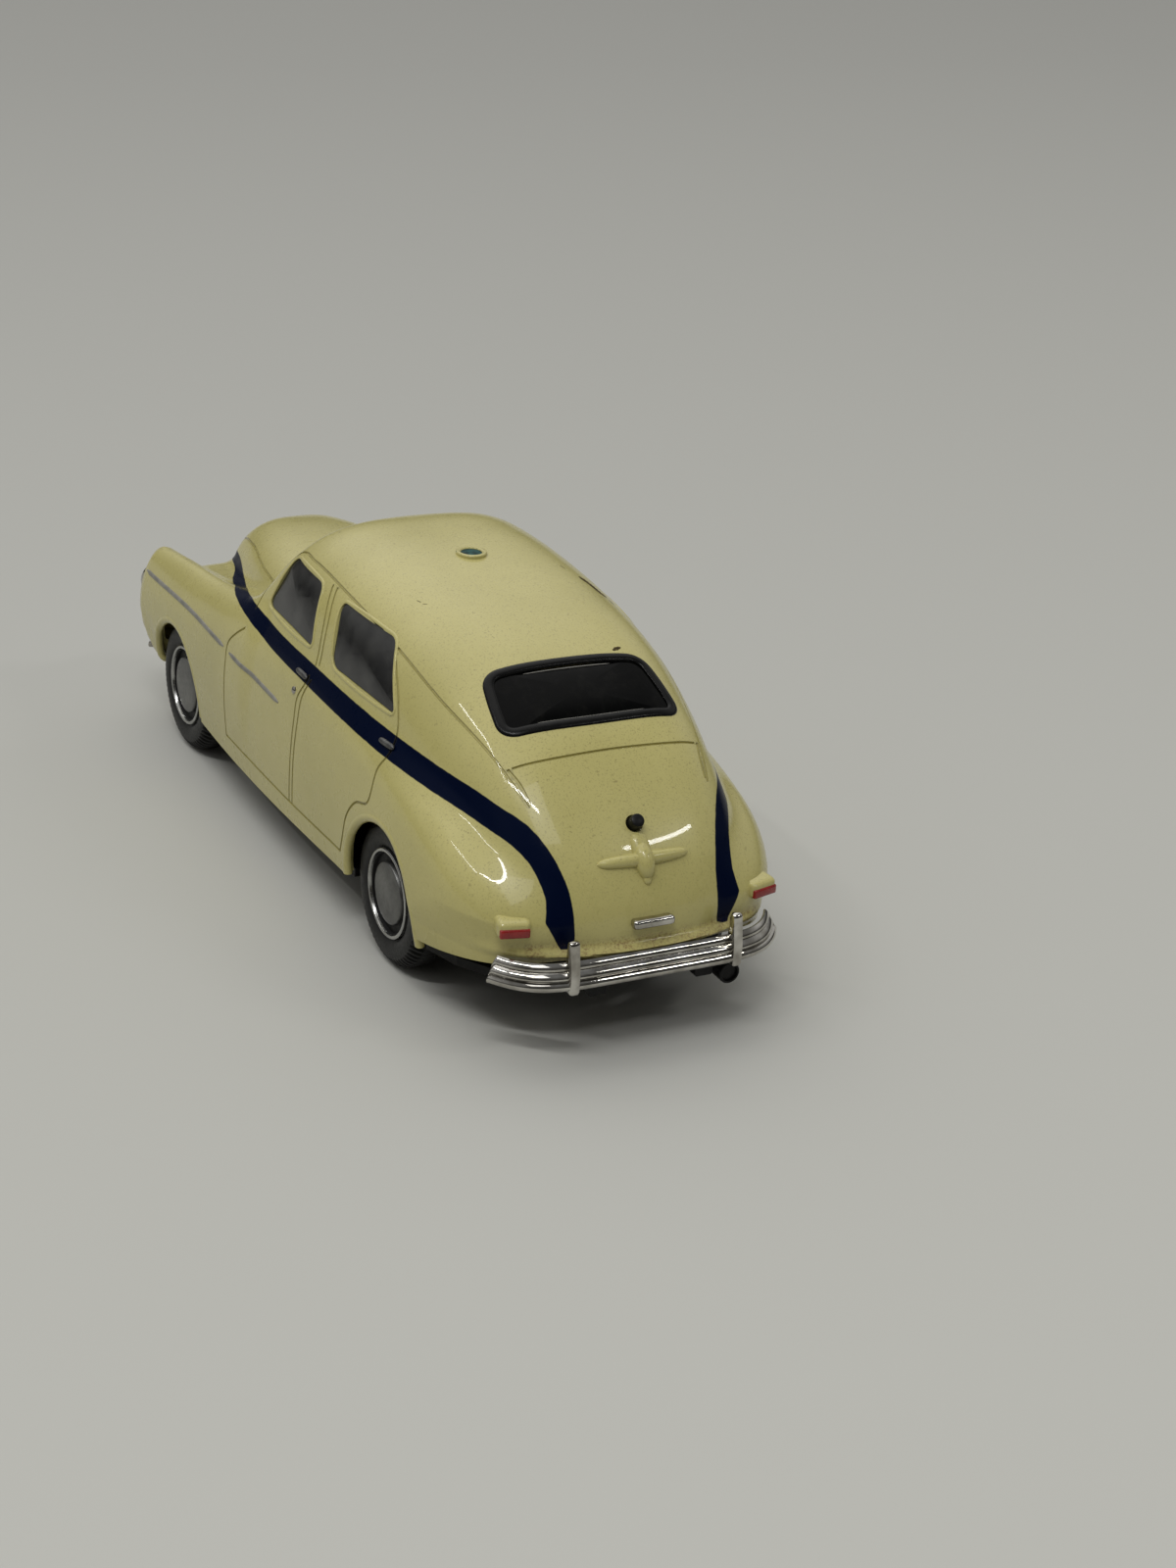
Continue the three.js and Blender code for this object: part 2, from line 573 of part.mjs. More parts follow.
// One pane of the divided windscreen, on the left (1) or right (-1)
function screenPane(hand) {
  const lean = THREE.MathUtils.degToRad(SCREEN_LEAN);
  const ahead = Math.sin(lean);
  const out = new THREE.Vector3(ahead, hand * SCREEN_SWEEP * ahead, Math.cos(lean)).normalize();
  const left = new THREE.Vector3(-out.y, out.x, 0).normalize();
  const up = new THREE.Vector3().crossVectors(out, left);
  const frame = new THREE.Matrix4().makeBasis(left, up, out).setPosition(SCREEN_X, 0, BELT_Z - 1);
  const top = SCREEN_FOOT + SCREEN_HEIGHT;
  const outline = [
    [hand * SCREEN_POST, SCREEN_FOOT],
    [hand * (SCREEN_POST + SCREEN_WIDTH_LOW), SCREEN_FOOT],
    [hand * (SCREEN_POST + SCREEN_WIDTH_TOP), top],
    [hand * SCREEN_POST, top],
  ];
  if (hand < 0) outline.reverse();
  return pushed(roundedShape(outline, WINDOW_CORNER), -PANE_CUT, PANE_CUT, frame);
}

function wheelArch(x, radius) {
  const outer = BODY_HALF_WIDTH + 2;
  const from = new THREE.Vector3(x, -outer, AXLE_Z - ARCH_DROP);
  const through = bar(from, new THREE.Vector3(x, outer, AXLE_Z - ARCH_DROP), radius, 40);
  const middle = box(x - radius - 1, x + radius + 1, -WELL_Y, WELL_Y, -radius, AXLE_Z + radius + 1);
  return cut(through, middle);
}

// Post for a base screw, hanging from the inside of the casting
function screwPost(x) {
  const roofOver = (at) => surfacePoint(new THREE.Vector3(at, 0, HEART_Z), UPWARD).z;
  const lowest = Math.min(roofOver(x - POST_RADIUS), roofOver(x + POST_RADIUS));
  const foot = new THREE.Vector3(x, 0, BASE_TOP_Z + FIT_GAP);
  return bar(foot, new THREE.Vector3(x, 0, lowest - BODY_WALL / 2), POST_RADIUS, 12);
}

function screwHole(x, radius) {
  const foot = new THREE.Vector3(x, 0, 0);
  return bar(foot, new THREE.Vector3(x, 0, BASE_TOP_Z + SCREW_LENGTH), radius, 12);
}

function doorHandle(x, hand) {
  const z = BELT_Z - HANDLE_DROP;
  const seat = surfacePoint(new THREE.Vector3(x, 0, z), new THREE.Vector3(0, hand, 0));
  const inner = seat.y - hand * BODY_WALL * 0.5;
  const outer = seat.y + hand * HANDLE_PROUD;
  const [low, high] = [inner, outer].sort((a, b) => a - b);
  const half = HANDLE_LENGTH / 2;
  return box(x - half, x + half, low, high, z - HANDLE_THICKNESS / 2, z + HANDLE_THICKNESS / 2);
}

// Frame on the face of a tail-lamp box, looking out of the lamp
function tailLampFrame(hand) {
  const seat = surfacePoint(new THREE.Vector3(SPINE_REAR_X, hand * TAIL_LAMP_Y, TAIL_LAMP_Z), REARWARD);
  const turn = hand * THREE.MathUtils.degToRad(TAIL_LAMP_TURN);
  const out = new THREE.Vector3(-Math.cos(turn), Math.sin(turn), 0);
  const left = new THREE.Vector3().crossVectors(UPWARD, out);
  seat.addScaledVector(out, TAIL_LAMP_PROUD);
  return new THREE.Matrix4().makeBasis(left, UPWARD, out).setPosition(seat);
}

function panel(halfWidth, halfHeight, start, end, frame) {
  const corners = [[-1, -1], [1, -1], [1, 1], [-1, 1]];
  const outline = corners.map(([x, y]) => new THREE.Vector2(x * halfWidth, y * halfHeight));
  return pushed(new THREE.Shape(outline), start, end, frame);
}

const tailLampBox = (hand) =>
  panel(TAIL_LAMP_WIDTH / 2, TAIL_LAMP_HEIGHT / 2, -TAIL_LAMP_PROUD - BODY_WALL, 0, tailLampFrame(hand));

// Rounded lump on the casting
function lump(at, sizes) {
  return solid(new THREE.SphereGeometry(1, 12, 8).scale(...sizes).translate(at.x, at.y, at.z));
}

// Winged handle cast on the boot lid
function bootHandle() {
  const seat = surfacePoint(new THREE.Vector3(SPINE_REAR_X, 0, BOOT_HANDLE_Z), REARWARD);
  const wings = lump(seat, [BOOT_HANDLE_PROUD, BOOT_HANDLE_SPAN, BOOT_HANDLE_HEIGHT]);
  return wings.add(lump(seat, [BOOT_HANDLE_BOSS, BOOT_HANDLE_BOSS * 0.8, BOOT_HANDLE_BOSS * 1.3]));
}

// Point and outward direction of the boot peg
function pegSeat() {
  const seat = surfacePoint(new THREE.Vector3(SPINE_REAR_X, 0, PEG_Z), REARWARD);
  return { seat, out: surfaceNormal(seat) };
}

function pegBar(inside, outside, radius) {
  const { seat, out } = pegSeat();
  const from = seat.clone().addScaledVector(out, -inside);
  return bar(from, seat.clone().addScaledVector(out, outside), radius, 12);
}

const plateLampSeat = () => surfacePoint(new THREE.Vector3(SPINE_REAR_X, 0, PLATE_LAMP_Z), REARWARD);

function plateLampPin(radius, inside, outside) {
  const seat = plateLampSeat();
  const from = new THREE.Vector3(seat.x + inside, 0, PLATE_LAMP_Z);
  return bar(from, new THREE.Vector3(seat.x - outside, 0, PLATE_LAMP_Z), radius, 8);
}

// Foremost point of the wing at the lamp's centre
const lampSeat = (hand) => surfacePoint(new THREE.Vector3(SPINE_FRONT_X, hand * LAMP_Y, LAMP_Z), FORWARD);

function lampPocket(hand) {
  const seat = lampSeat(hand);
  const from = new THREE.Vector3(seat.x - LAMP_DEPTH - FIT_GAP, seat.y, LAMP_Z);
  return bar(from, new THREE.Vector3(seat.x + 5, seat.y, LAMP_Z), LAMP_RADIUS + FIT_GAP, LAMP_SIDES);
}

// Foremost point of the nose at the grille's middle
function grilleFace() {
  const middle = new THREE.Vector3(SPINE_FRONT_X, 0, GRILLE_LOW_Z + GRILLE_HEIGHT / 2);
  return surfacePoint(middle, FORWARD).x - GRILLE_SINK;
}

function grilleOutline(grow) {
  const side = GRILLE_HALF_WIDTH + grow;
  const low = GRILLE_LOW_Z - grow;
  const top = GRILLE_LOW_Z + GRILLE_HEIGHT + grow;
  return roundedShape([[-side, low], [side, low], [side, top], [-side, top]], GRILLE_CORNER + grow);
}

function bodyShell() {
  const outer = bodySolid(0);
  const cavity = bodySolid(BODY_WALL, -4);
  const bossFoot = surfacePoint(new THREE.Vector3(ROOF_BOSS_X, 0, HEART_Z), UPWARD);
  const bossTop = bossFoot.clone().setZ(bossFoot.z + ROOF_BOSS_HEIGHT);
  bossFoot.z -= BODY_WALL / 2;
  const handles = HANDLE_STATIONS_X.flatMap((x) => [doorHandle(x, 1), doorHandle(x, -1)]);
  const cast = joined(
    cut(outer, cavity),
    bar(bossFoot, bossTop, ROOF_BOSS_RADIUS, 20),
    screwPost(POST_FRONT_X),
    screwPost(POST_REAR_X),
    tailLampBox(1),
    tailLampBox(-1),
    bootHandle(),
    ...handles,
  );
  return cut(
    cast,
    wheelArch(AXLE_FRONT_X + ARCH_FRONT_SHIFT_X, ARCH_FRONT_RADIUS),
    wheelArch(AXLE_REAR_X + ARCH_REAR_SHIFT_X, ARCH_REAR_RADIUS),
    sideWindow(FRONT_WINDOW_X),
    sideWindow(REAR_WINDOW_X),
    backlight(),
    screenPane(1),
    screenPane(-1),
    screwHole(POST_FRONT_X, SCREW_RADIUS + FIT_GAP),
    screwHole(POST_REAR_X, SCREW_RADIUS + FIT_GAP),
    pegBar(BODY_WALL * 2, 3, PEG_RADIUS + FIT_GAP),
    plateLampPin(PIN_RADIUS + FIT_GAP, BODY_WALL * 2, 2),
    lampPocket(1),
    lampPocket(-1),
    pushed(grilleOutline(FIT_GAP), NOSE_X - GRILLE_DEPTH * 3, HALF_LENGTH, FRONT_FRAME),
    bumperSweep(bumperRoomSection(), FRONT_BUMPER_HALF_WIDTH + LOOSE_GAP),
    bumperSweep(bumperRoomSection(), REAR_BUMPER_HALF_WIDTH + LOOSE_GAP).rotate([0, 0, 180]),
  );
}

// Clear moulding: a thin dome that follows the inside of the casting above the belt
function windowInsert() {
  const outside = BODY_WALL + LOOSE_GAP;
  const dome = cut(bodySolid(outside, -4), bodySolid(outside + GLASS_WALL, -4));
  const side = BODY_HALF_WIDTH;
  const room = box(BACKLIGHT_X - BACKLIGHT_HEIGHT, SCREEN_X + 1, -side, side, BELT_Z - SINK, ROOF_Z);
  return dome.intersect(room);
}

// Plan of the base plate, just inside the casting
function baseOutline() {
  const z = BASE_TOP_Z - BASE_THICKNESS / 2;
  const depth = BODY_WALL + LOOSE_GAP;
  const points = planRays().map(({ x, way }) => surfacePoint(new THREE.Vector3(x, 0, z), way, depth));
  const right = points.slice(1, -1).reverse().map((p) => new THREE.Vector2(p.x, -p.y));
  return new THREE.Shape([...points.map((p) => new THREE.Vector2(p.x, p.y)), ...right]);
}

// Room that a pair of wheels takes, outside the wheel wells
function wheelRoom(x) {
  const reach = TYRE_RADIUS + WELL_GAP;
  const outer = BODY_HALF_WIDTH + 1;
  const room = box(x - reach, x + reach, -outer, outer, -1, AXLE_Z + reach);
  return cut(room, box(x - reach - 1, x + reach + 1, -WELL_Y, WELL_Y, -2, AXLE_Z + reach + 1));
}

function wheelWell(x, hand) {
  const reach = TYRE_RADIUS + WELL_GAP;
  const inner = hand * (WELL_Y - WELL_WALL);
  const [low, high] = [inner, hand * WELL_Y].sort((a, b) => a - b);
  return box(x - reach, x + reach, low, high, BASE_TOP_Z - BASE_THICKNESS, BASE_TOP_Z + WELL_HEIGHT);
}

function axleBearing(x) {
  const half = BEARING_LENGTH / 2;
  const top = AXLE_Z + AXLE_RADIUS + BEARING_ROOF;
  return box(x - half, x + half, -WELL_Y, WELL_Y, BASE_TOP_Z - BASE_THICKNESS, top);
}

function axleBar(x, radius, halfLength) {
  const from = new THREE.Vector3(x, -halfLength, AXLE_Z);
  return bar(from, new THREE.Vector3(x, halfLength, AXLE_Z), radius, 16);
}

function pipeBar(fromX, toX, radius) {
  return bar(new THREE.Vector3(fromX, PIPE_Y, PIPE_Z), new THREE.Vector3(toX, PIPE_Y, PIPE_Z), radius, 16);
}

function chassisBase() {
  const low = BASE_TOP_Z - BASE_THICKNESS;
  const ends = box(-BASE_END_X, BASE_END_X, -BODY_HALF_WIDTH, BODY_HALF_WIDTH, 0, ROOF_Z);
  const plate = pushed(baseOutline(), low, BASE_TOP_Z, new THREE.Matrix4()).intersect(ends);
  const axles = [AXLE_FRONT_X, AXLE_REAR_X];
  const bearings = axles.map(axleBearing);
  const wells = axles.flatMap((x) => [wheelWell(x, 1), wheelWell(x, -1)]);
  const shaftEnd = AXLE_FRONT_X - SUMP_BEHIND_AXLE - SUMP_LENGTH / 2;
  const shaftFrom = new THREE.Vector3(AXLE_REAR_X, 0, low);
  const shaft = bar(shaftFrom, new THREE.Vector3(shaftEnd, 0, low), SHAFT_RADIUS, 12);
  const padRear = PAD_X - PAD_LENGTH / 2;
  const padSide = PAD_WIDTH / 2;
  const pad = box(padRear, padRear + PAD_LENGTH, -padSide, padSide, low - PAD_DROP, BASE_TOP_Z);
  const banjo = lump(new THREE.Vector3(AXLE_REAR_X, 0, low), BANJO_SIZES);
  const sumpEnd = AXLE_FRONT_X - SUMP_BEHIND_AXLE;
  const sumpSide = SUMP_HALF_WIDTH;
  const sump = box(sumpEnd - SUMP_LENGTH, sumpEnd, -sumpSide, sumpSide, low - SUMP_DROP, BASE_TOP_Z);
  const socket = pipeBar(-BASE_END_X, PIPE_SOCKET - BASE_END_X + 1, PIPE_RADIUS + FIT_GAP + WELL_WALL);
  const floor = cut(plate, ...axles.map(wheelRoom));
  const built = joined(floor, ...bearings, ...wells, shaft, pad, banjo, sump, socket);
  return cut(
    built,
    ...axles.map((x) => axleBar(x, AXLE_RADIUS + RUN_GAP, WELL_Y + 1)),
    screwHole(POST_FRONT_X, SCREW_RADIUS + FIT_GAP),
    screwHole(POST_REAR_X, SCREW_RADIUS + FIT_GAP),
    pipeBar(-BASE_END_X - 1, PIPE_SOCKET - BASE_END_X, PIPE_RADIUS + FIT_GAP),
  );
}

// Side view of a bench: cushion and raked back
function bench(x, floorZ, halfWidth) {
  const outline = [
    [x, floorZ],
    [x + BENCH_DEPTH, floorZ],
    [x + BENCH_DEPTH, floorZ + BENCH_HEIGHT * 0.42],
    [x + BENCH_DEPTH * 0.3, floorZ + BENCH_HEIGHT * 0.38],
    [x - BENCH_DEPTH * 0.05, floorZ + BENCH_HEIGHT],
    [x - BENCH_DEPTH * 0.28, floorZ + BENCH_HEIGHT * 0.98],
  ];
  return acrossCar(roundedShape(outline, BENCH_CORNER, 2), halfWidth);
}

function interiorTub() {
  const low = BASE_TOP_Z + FIT_GAP;
  const top = low + FLOOR_THICKNESS;
  const rearEnd = AXLE_REAR_X + BEARING_LENGTH / 2 + LOOSE_GAP;
  const wheelEnd = AXLE_REAR_X + TYRE_RADIUS + WELL_GAP + LOOSE_GAP;
  const shelfZ = BELT_Z - SHELF_DROP;
  const side = REAR_BENCH_HALF_WIDTH;
  return joined(
    box(wheelEnd, BULKHEAD_X, -FLOOR_HALF_WIDTH, FLOOR_HALF_WIDTH, low, top),
    box(rearEnd, wheelEnd + 1, -side, side, low, top),
    box(BULKHEAD_X - BULKHEAD_THICKNESS, BULKHEAD_X, -DASH_HALF_WIDTH, DASH_HALF_WIDTH, low, BULKHEAD_TOP_Z),
    bench(FRONT_BENCH_X, top - SINK, BENCH_HALF_WIDTH),
    bench(rearEnd + REAR_BENCH_SETBACK, top - SINK, REAR_BENCH_HALF_WIDTH),
    box(rearEnd - SHELF_LENGTH, rearEnd + SHELF_LAP, -side, side, shelfZ - SHELF_THICKNESS, shelfZ),
  );
}

function dashboard() {
  const low = BULKHEAD_TOP_Z + FIT_GAP;
  const rear = BULKHEAD_X - DASH_DEPTH;
  const top = low + DASH_HEIGHT;
  const rake = DASH_HEIGHT * Math.tan(COLUMN_TILT);
  const outline = [[rear, low], [BULKHEAD_X, low], [BULKHEAD_X, top], [rear + rake, top]];
  return acrossCar(roundedShape(outline, DASH_CORNER, 2), DASH_HALF_WIDTH);
}

// Steering wheel on a column that stands square on the dashboard's face
function steeringWheel() {
  const toDriver = new THREE.Vector3(-Math.cos(COLUMN_TILT), 0, Math.sin(COLUMN_TILT));
  const half = DASH_HEIGHT / 2;
  const faceX = BULKHEAD_X - DASH_DEPTH + half * Math.tan(COLUMN_TILT);
  const foot = new THREE.Vector3(faceX, STEERING_Y, BULKHEAD_TOP_Z + FIT_GAP + half);
  foot.addScaledVector(toDriver, LOOSE_GAP);
  const hub = foot.clone().addScaledVector(toDriver, COLUMN_LENGTH);
  const turn = new THREE.Quaternion().setFromUnitVectors(new THREE.Vector3(0, 0, 1), toDriver);
  const rim = new THREE.TorusGeometry(STEERING_RADIUS, STEERING_TUBE, 5, 16).applyQuaternion(turn);
  const spokes = [new THREE.Vector3(0, STEERING_RADIUS, 0), new THREE.Vector3(0, -STEERING_RADIUS, 0)];
  return joined(
    solid(rim.translate(hub.x, hub.y, hub.z)),
    bar(foot, hub.clone().addScaledVector(toDriver, STEERING_TUBE), COLUMN_RADIUS, 8),
    ...spokes.map((end) => bar(hub, hub.clone().add(end), STEERING_TUBE * 0.7, 6)),
  );
}

// Plan curve of a bumper's face: x and y at a share of its width from -1 to 1, forward of the middle
const bumperFace = (share, halfWidth) =>
  new THREE.Vector2(HALF_LENGTH - BUMPER_WRAP * Math.abs(share) ** BUMPER_BEND, halfWidth * share);

// Section of the bar as (depth, height), ribs set back one by one from the lowest
function bumperSection() {
  const section = [[0, 0], [0, BUMPER_RIB]];
  for (const rib of [1, 2]) {
    section.push([BUMPER_STEP * rib, BUMPER_RIB * rib], [BUMPER_STEP * rib, BUMPER_RIB * (rib + 1)]);
  }
  section.push([BUMPER_BACK, BUMPER_HEIGHT], [BUMPER_BACK, 0]);
  return section;
}

// Plain section of the room that the shell leaves the bar
const bumperRoomSection = () => [
  [0, -LOOSE_GAP],
  [0, BUMPER_HEIGHT + LOOSE_GAP],
  [BUMPER_BACK + LOOSE_GAP, BUMPER_HEIGHT + LOOSE_GAP],
  [BUMPER_BACK + LOOSE_GAP, -LOOSE_GAP],
];

// Section swept along the plan curve
function bumperSweep(section, halfWidth) {
  const stations = 24;
  const rings = [];
  for (let i = 0; i <= stations; i += 1) {
    const share = Math.sin((Math.PI / 2) * ((2 * i) / stations - 1));
    const here = bumperFace(share, halfWidth);
    const ahead = bumperFace(share + 1e-4, halfWidth).sub(bumperFace(share - 1e-4, halfWidth)).normalize();
    const inward = new THREE.Vector2(-ahead.y, ahead.x);
    for (const [depth, z] of section) {
      rings.push(here.x + inward.x * depth, here.y + inward.y * depth, BUMPER_Z + z);
    }
  }
  const count = section.length;
  const index = [];
  for (let i = 0; i < stations; i += 1) {
    for (let k = 0; k < count; k += 1) {
      const next = (k + 1) % count;
      const [a, b, c, d] = [i * count + k, (i + 1) * count + k, (i + 1) * count + next, i * count + next];
      index.push(a, b, c, a, c, d);
    }
  }
  const faces = THREE.ShapeUtils.triangulateShape(section.map(([x, y]) => new THREE.Vector2(x, y)), []);
  for (const [a, b, c] of faces) {
    index.push(a, c, b);
    index.push(stations * count + a, stations * count + b, stations * count + c);
  }
  const geometry = new THREE.BufferGeometry();
  geometry.setAttribute('position', new THREE.Float32BufferAttribute(rings, 3));
  geometry.setIndex(index);
  return solid(geometry);
}

// Iron that carries the bumper on the base plate
function bumperIron(hand) {
  const y = hand * IRON_Y;
  const half = IRON_WIDTH / 2;
  const low = BASE_TOP_Z + FIT_GAP;
  const face = HALF_LENGTH - BUMPER_BACK + BUMPER_DEPTH / 2;
  const tongue = box(BASE_END_X - IRON_GRIP, face, y - half, y + half, low, low + IRON_HEIGHT);
  return tongue.add(box(face - BUMPER_DEPTH / 2, face, y - half, y + half, low, BUMPER_Z + BUMPER_RIB));
}

// Upright guard with a rounded head, over the bar's face
function bumperGuard(hand) {
  const back = HALF_LENGTH - GUARD_DEPTH;
  const outline = [
    [HALF_LENGTH, BUMPER_Z - GUARD_FOOT],
    [back, BUMPER_Z - GUARD_FOOT],
    [back, BUMPER_Z + BUMPER_HEIGHT],
    [back + GUARD_CORNER, GUARD_TOP_Z],
    [HALF_LENGTH - GUARD_CORNER * 2, GUARD_TOP_Z],
    [HALF_LENGTH, BUMPER_Z + BUMPER_HEIGHT - BUMPER_RIB],
  ];
  const guard = acrossCar(roundedShape(outline, GUARD_CORNER, 2), GUARD_WIDTH / 2);
  return guard.translate([0, hand * GUARD_Y, 0]);
}

function bumper(halfWidth) {
  const barBody = bumperSweep(bumperSection(), halfWidth);
  return joined(barBody, bumperIron(1), bumperIron(-1), bumperGuard(1), bumperGuard(-1));
}

// Grille: a frame with level bars
function grille() {
  const face = grilleFace();
  const shape = grilleOutline(0);
  const inner = GRILLE_HEIGHT - 2 * GRILLE_FRAME;
  const pitch = inner / (GRILLE_BARS + 1);
  const slots = [];
  for (let i = 0; i <= GRILLE_BARS; i += 1) {
    const low = GRILLE_LOW_Z + GRILLE_FRAME + i * pitch + pitch * 0.22;
    const side = GRILLE_HALF_WIDTH - GRILLE_FRAME;
    slots.push(box(face - GRILLE_DEPTH * 0.55, face + 1, -side, side, low, low + pitch * 0.56));
  }
  return cut(pushed(shape, face - GRILLE_DEPTH, face, FRONT_FRAME), ...slots);
}

// Profile as (radius, height) turned about an axis through a point
function turned(profile, at, way, sides) {
  const points = profile.map(([radius, height]) => new THREE.Vector2(radius, height));
  const geometry = new THREE.LatheGeometry(points, sides, Math.PI / sides);
  const turn = new THREE.Quaternion().setFromUnitVectors(new THREE.Vector3(0, 1, 0), way);
  return solid(geometry.applyQuaternion(turn).translate(at.x, at.y, at.z));
}

function headlampBezel(hand) {
  const profile = [
    [LAMP_RADIUS - BEZEL_WALL, -LAMP_DEPTH],
    [LAMP_RADIUS, -LAMP_DEPTH],
    [LAMP_RADIUS, LAMP_PROUD * 0.5],
    [LAMP_RADIUS - BEZEL_WALL * 0.5, LAMP_PROUD],
    [LAMP_RADIUS - BEZEL_WALL, LAMP_PROUD * 0.7],
    [LAMP_RADIUS - BEZEL_WALL, -LAMP_DEPTH],
  ];
  return turned(profile, lampSeat(hand), FORWARD, LAMP_SIDES);
}

function headlampLens(hand) {
  const radius = LAMP_RADIUS - BEZEL_WALL - FIT_GAP;
  const rim = LAMP_PROUD * 0.5;
  const profile = [[0, -LAMP_DEPTH], [radius, -LAMP_DEPTH], [radius, rim]];
  for (const share of [0.75, 0.4]) profile.push([radius * share, rim + LENS_DOME * (1 - share ** 2)]);
  profile.push([0, rim + LENS_DOME]);
  return turned(profile, lampSeat(hand), FORWARD, LAMP_SIDES);
}

function tailLampLens(hand) {
  const drop = new THREE.Matrix4().makeTranslation(0, -TAIL_LENS_DROP, 0);
  const half = TAIL_LAMP_WIDTH / 2 - TAIL_LENS_BORDER;
  const frame = tailLampFrame(hand).multiply(drop);
  return panel(half, TAIL_LENS_HEIGHT / 2, FIT_GAP, FIT_GAP + TAIL_LENS_THICKNESS, frame);
}

function plateLamp() {
  const seat = plateLampSeat();
  const half = PLATE_LAMP_WIDTH / 2;
  const back = seat.x - LOOSE_GAP;
  const low = PLATE_LAMP_Z - PLATE_LAMP_HEIGHT / 2;
  const top = PLATE_LAMP_Z + PLATE_LAMP_HEIGHT / 2;
  const outline = [[back - PLATE_LAMP_DEPTH, low], [back, low], [back, top], [back - PLATE_LAMP_DEPTH, top]];
  const rod = acrossCar(roundedShape(outline, PLATE_LAMP_CORNER, 2), half);
  return rod.add(plateLampPin(PIN_RADIUS, BODY_WALL, LOOSE_GAP + PLATE_LAMP_DEPTH / 2));
}

function tailPipe() {
  const pipe = pipeBar(PIPE_SOCKET - BASE_END_X - FIT_GAP, PIPE_END_X, PIPE_RADIUS);
  return cut(pipe, pipeBar(PIPE_END_X - 1, PIPE_END_X + 2, PIPE_RADIUS - PIPE_WALL));
}

function chassisScrew(x) {
  const top = BASE_TOP_Z - BASE_THICKNESS - FIT_GAP;
  const face = new THREE.Vector3(x, 0, top - SCREW_HEAD_HEIGHT);
  const head = bar(face, new THREE.Vector3(x, 0, top), SCREW_HEAD_RADIUS, 16);
  const end = new THREE.Vector3(x, 0, BASE_TOP_Z + SCREW_LENGTH - FIT_GAP);
  return head.add(bar(new THREE.Vector3(x, 0, top - SCREW_HEAD_HEIGHT / 2), end, SCREW_RADIUS, 12));
}

// Wheel profiles are (radius, distance out from the car's middle)
function rim(x, hand) {
  const face = WHEEL_FACE_Y;
  const ring = RIM_RADIUS - RIM_LIP;
  const bore = AXLE_RADIUS + FIT_GAP;
  const profile = [
    [0, face - RIM_WALL],
    [bore, face - RIM_WALL],
    [bore, face - RIM_WIDTH],
    [RIM_RADIUS, face - RIM_WIDTH],
    [RIM_RADIUS, face - RIM_EDGE],
    [ring, face - RIM_EDGE],
    [ring - RIM_EDGE, face - RIM_RECESS],
    [HUB_CAP_RADIUS, face - RIM_RECESS],
    [HUB_CAP_RADIUS - RIM_EDGE, face],
    [0, face],
  ];
  return turned(profile, new THREE.Vector3(x, 0, AXLE_Z), new THREE.Vector3(0, hand, 0), WHEEL_SIDES);
}

function tyre(x, hand) {
  const outer = WHEEL_FACE_Y - TYRE_INSET;
  const inner = outer - TYRE_WIDTH;
  const bead = RIM_RADIUS + FIT_GAP;
  const wall = (TYRE_RADIUS + bead) / 2;
  const profile = [
    [bead, inner + TYRE_SHOULDER / 3],
    [wall, inner],
    [TYRE_RADIUS - TYRE_SHOULDER / 2, inner + TYRE_SHOULDER / 3],
    [TYRE_RADIUS, inner + TYRE_SHOULDER],
    [TYRE_RADIUS, outer - TYRE_SHOULDER],
    [TYRE_RADIUS - TYRE_SHOULDER / 2, outer - TYRE_SHOULDER / 3],
    [wall, outer],
    [bead, outer - TYRE_SHOULDER / 3],
    [bead, inner + TYRE_SHOULDER / 3],
  ];
  return turned(profile, new THREE.Vector3(x, 0, AXLE_Z), new THREE.Vector3(0, hand, 0), WHEEL_SIDES);
}

const axle = (x) => axleBar(x, AXLE_RADIUS, WHEEL_FACE_Y - RIM_WALL - FIT_GAP);

// Finishes
function finish(color, roughness, metalness) {
  return new THREE.MeshStandardMaterial({ color, roughness, metalness });
}
const CREAM = finish(0xb9b07a, 0.3, 0.0);
const BLACK = finish(0x151515, 0.6, 0.0);
const TRIM = finish(0x3a3732, 0.7, 0.0);
const CLEAR = finish(0x52565a, 0.1, 0.0);
CLEAR.transparent = true;
CLEAR.opacity = 0.45;
const CHROME = finish(0xd5d5d5, 0.12, 1.0);
const SATIN = finish(0xa5a5a3, 0.35, 0.9);
const STEEL = finish(0x8f9194, 0.35, 1.0);
const RUBBER = finish(0x1b1b1c, 0.85, 0.0);
const RED = finish(0x8f1418, 0.35, 0.0);
const LENS = finish(0xdfe3e4, 0.15, 0.0);

const car = new THREE.Group();
car.name = 'toy_saloon';

function place(name, body, material, group = car) {
  const mesh = new THREE.Mesh(meshed(body), material);
  mesh.name = name;
  group.add(mesh);
}

place('body_shell', bodyShell(), CREAM);
place('chassis_base', chassisBase(), BLACK);
place('interior_tub', interiorTub(), TRIM);
place('dashboard', dashboard(), TRIM);
place('steering_wheel', steeringWheel(), TRIM);
place('window_insert', windowInsert(), CLEAR);
place('front_bumper', bumper(FRONT_BUMPER_HALF_WIDTH), CHROME);
place('rear_bumper', bumper(REAR_BUMPER_HALF_WIDTH).rotate([0, 0, 180]), CHROME);
place('grille', grille(), CHROME);
place('plate_lamp', plateLamp(), SATIN);
place('boot_peg', pegBar(BODY_WALL, PEG_PROUD, PEG_RADIUS), BLACK);
place('tail_pipe', tailPipe(), BLACK);
place('chassis_screw_front', chassisScrew(POST_FRONT_X), STEEL);
place('chassis_screw_rear', chassisScrew(POST_REAR_X), STEEL);
for (const [side, hand] of [['left', 1], ['right', -1]]) {
  place(`headlamp_bezel_${side}`, headlampBezel(hand), CHROME);
  place(`headlamp_lens_${side}`, headlampLens(hand), LENS);
  place(`tail_lamp_lens_${side}`, tailLampLens(hand), RED);
}

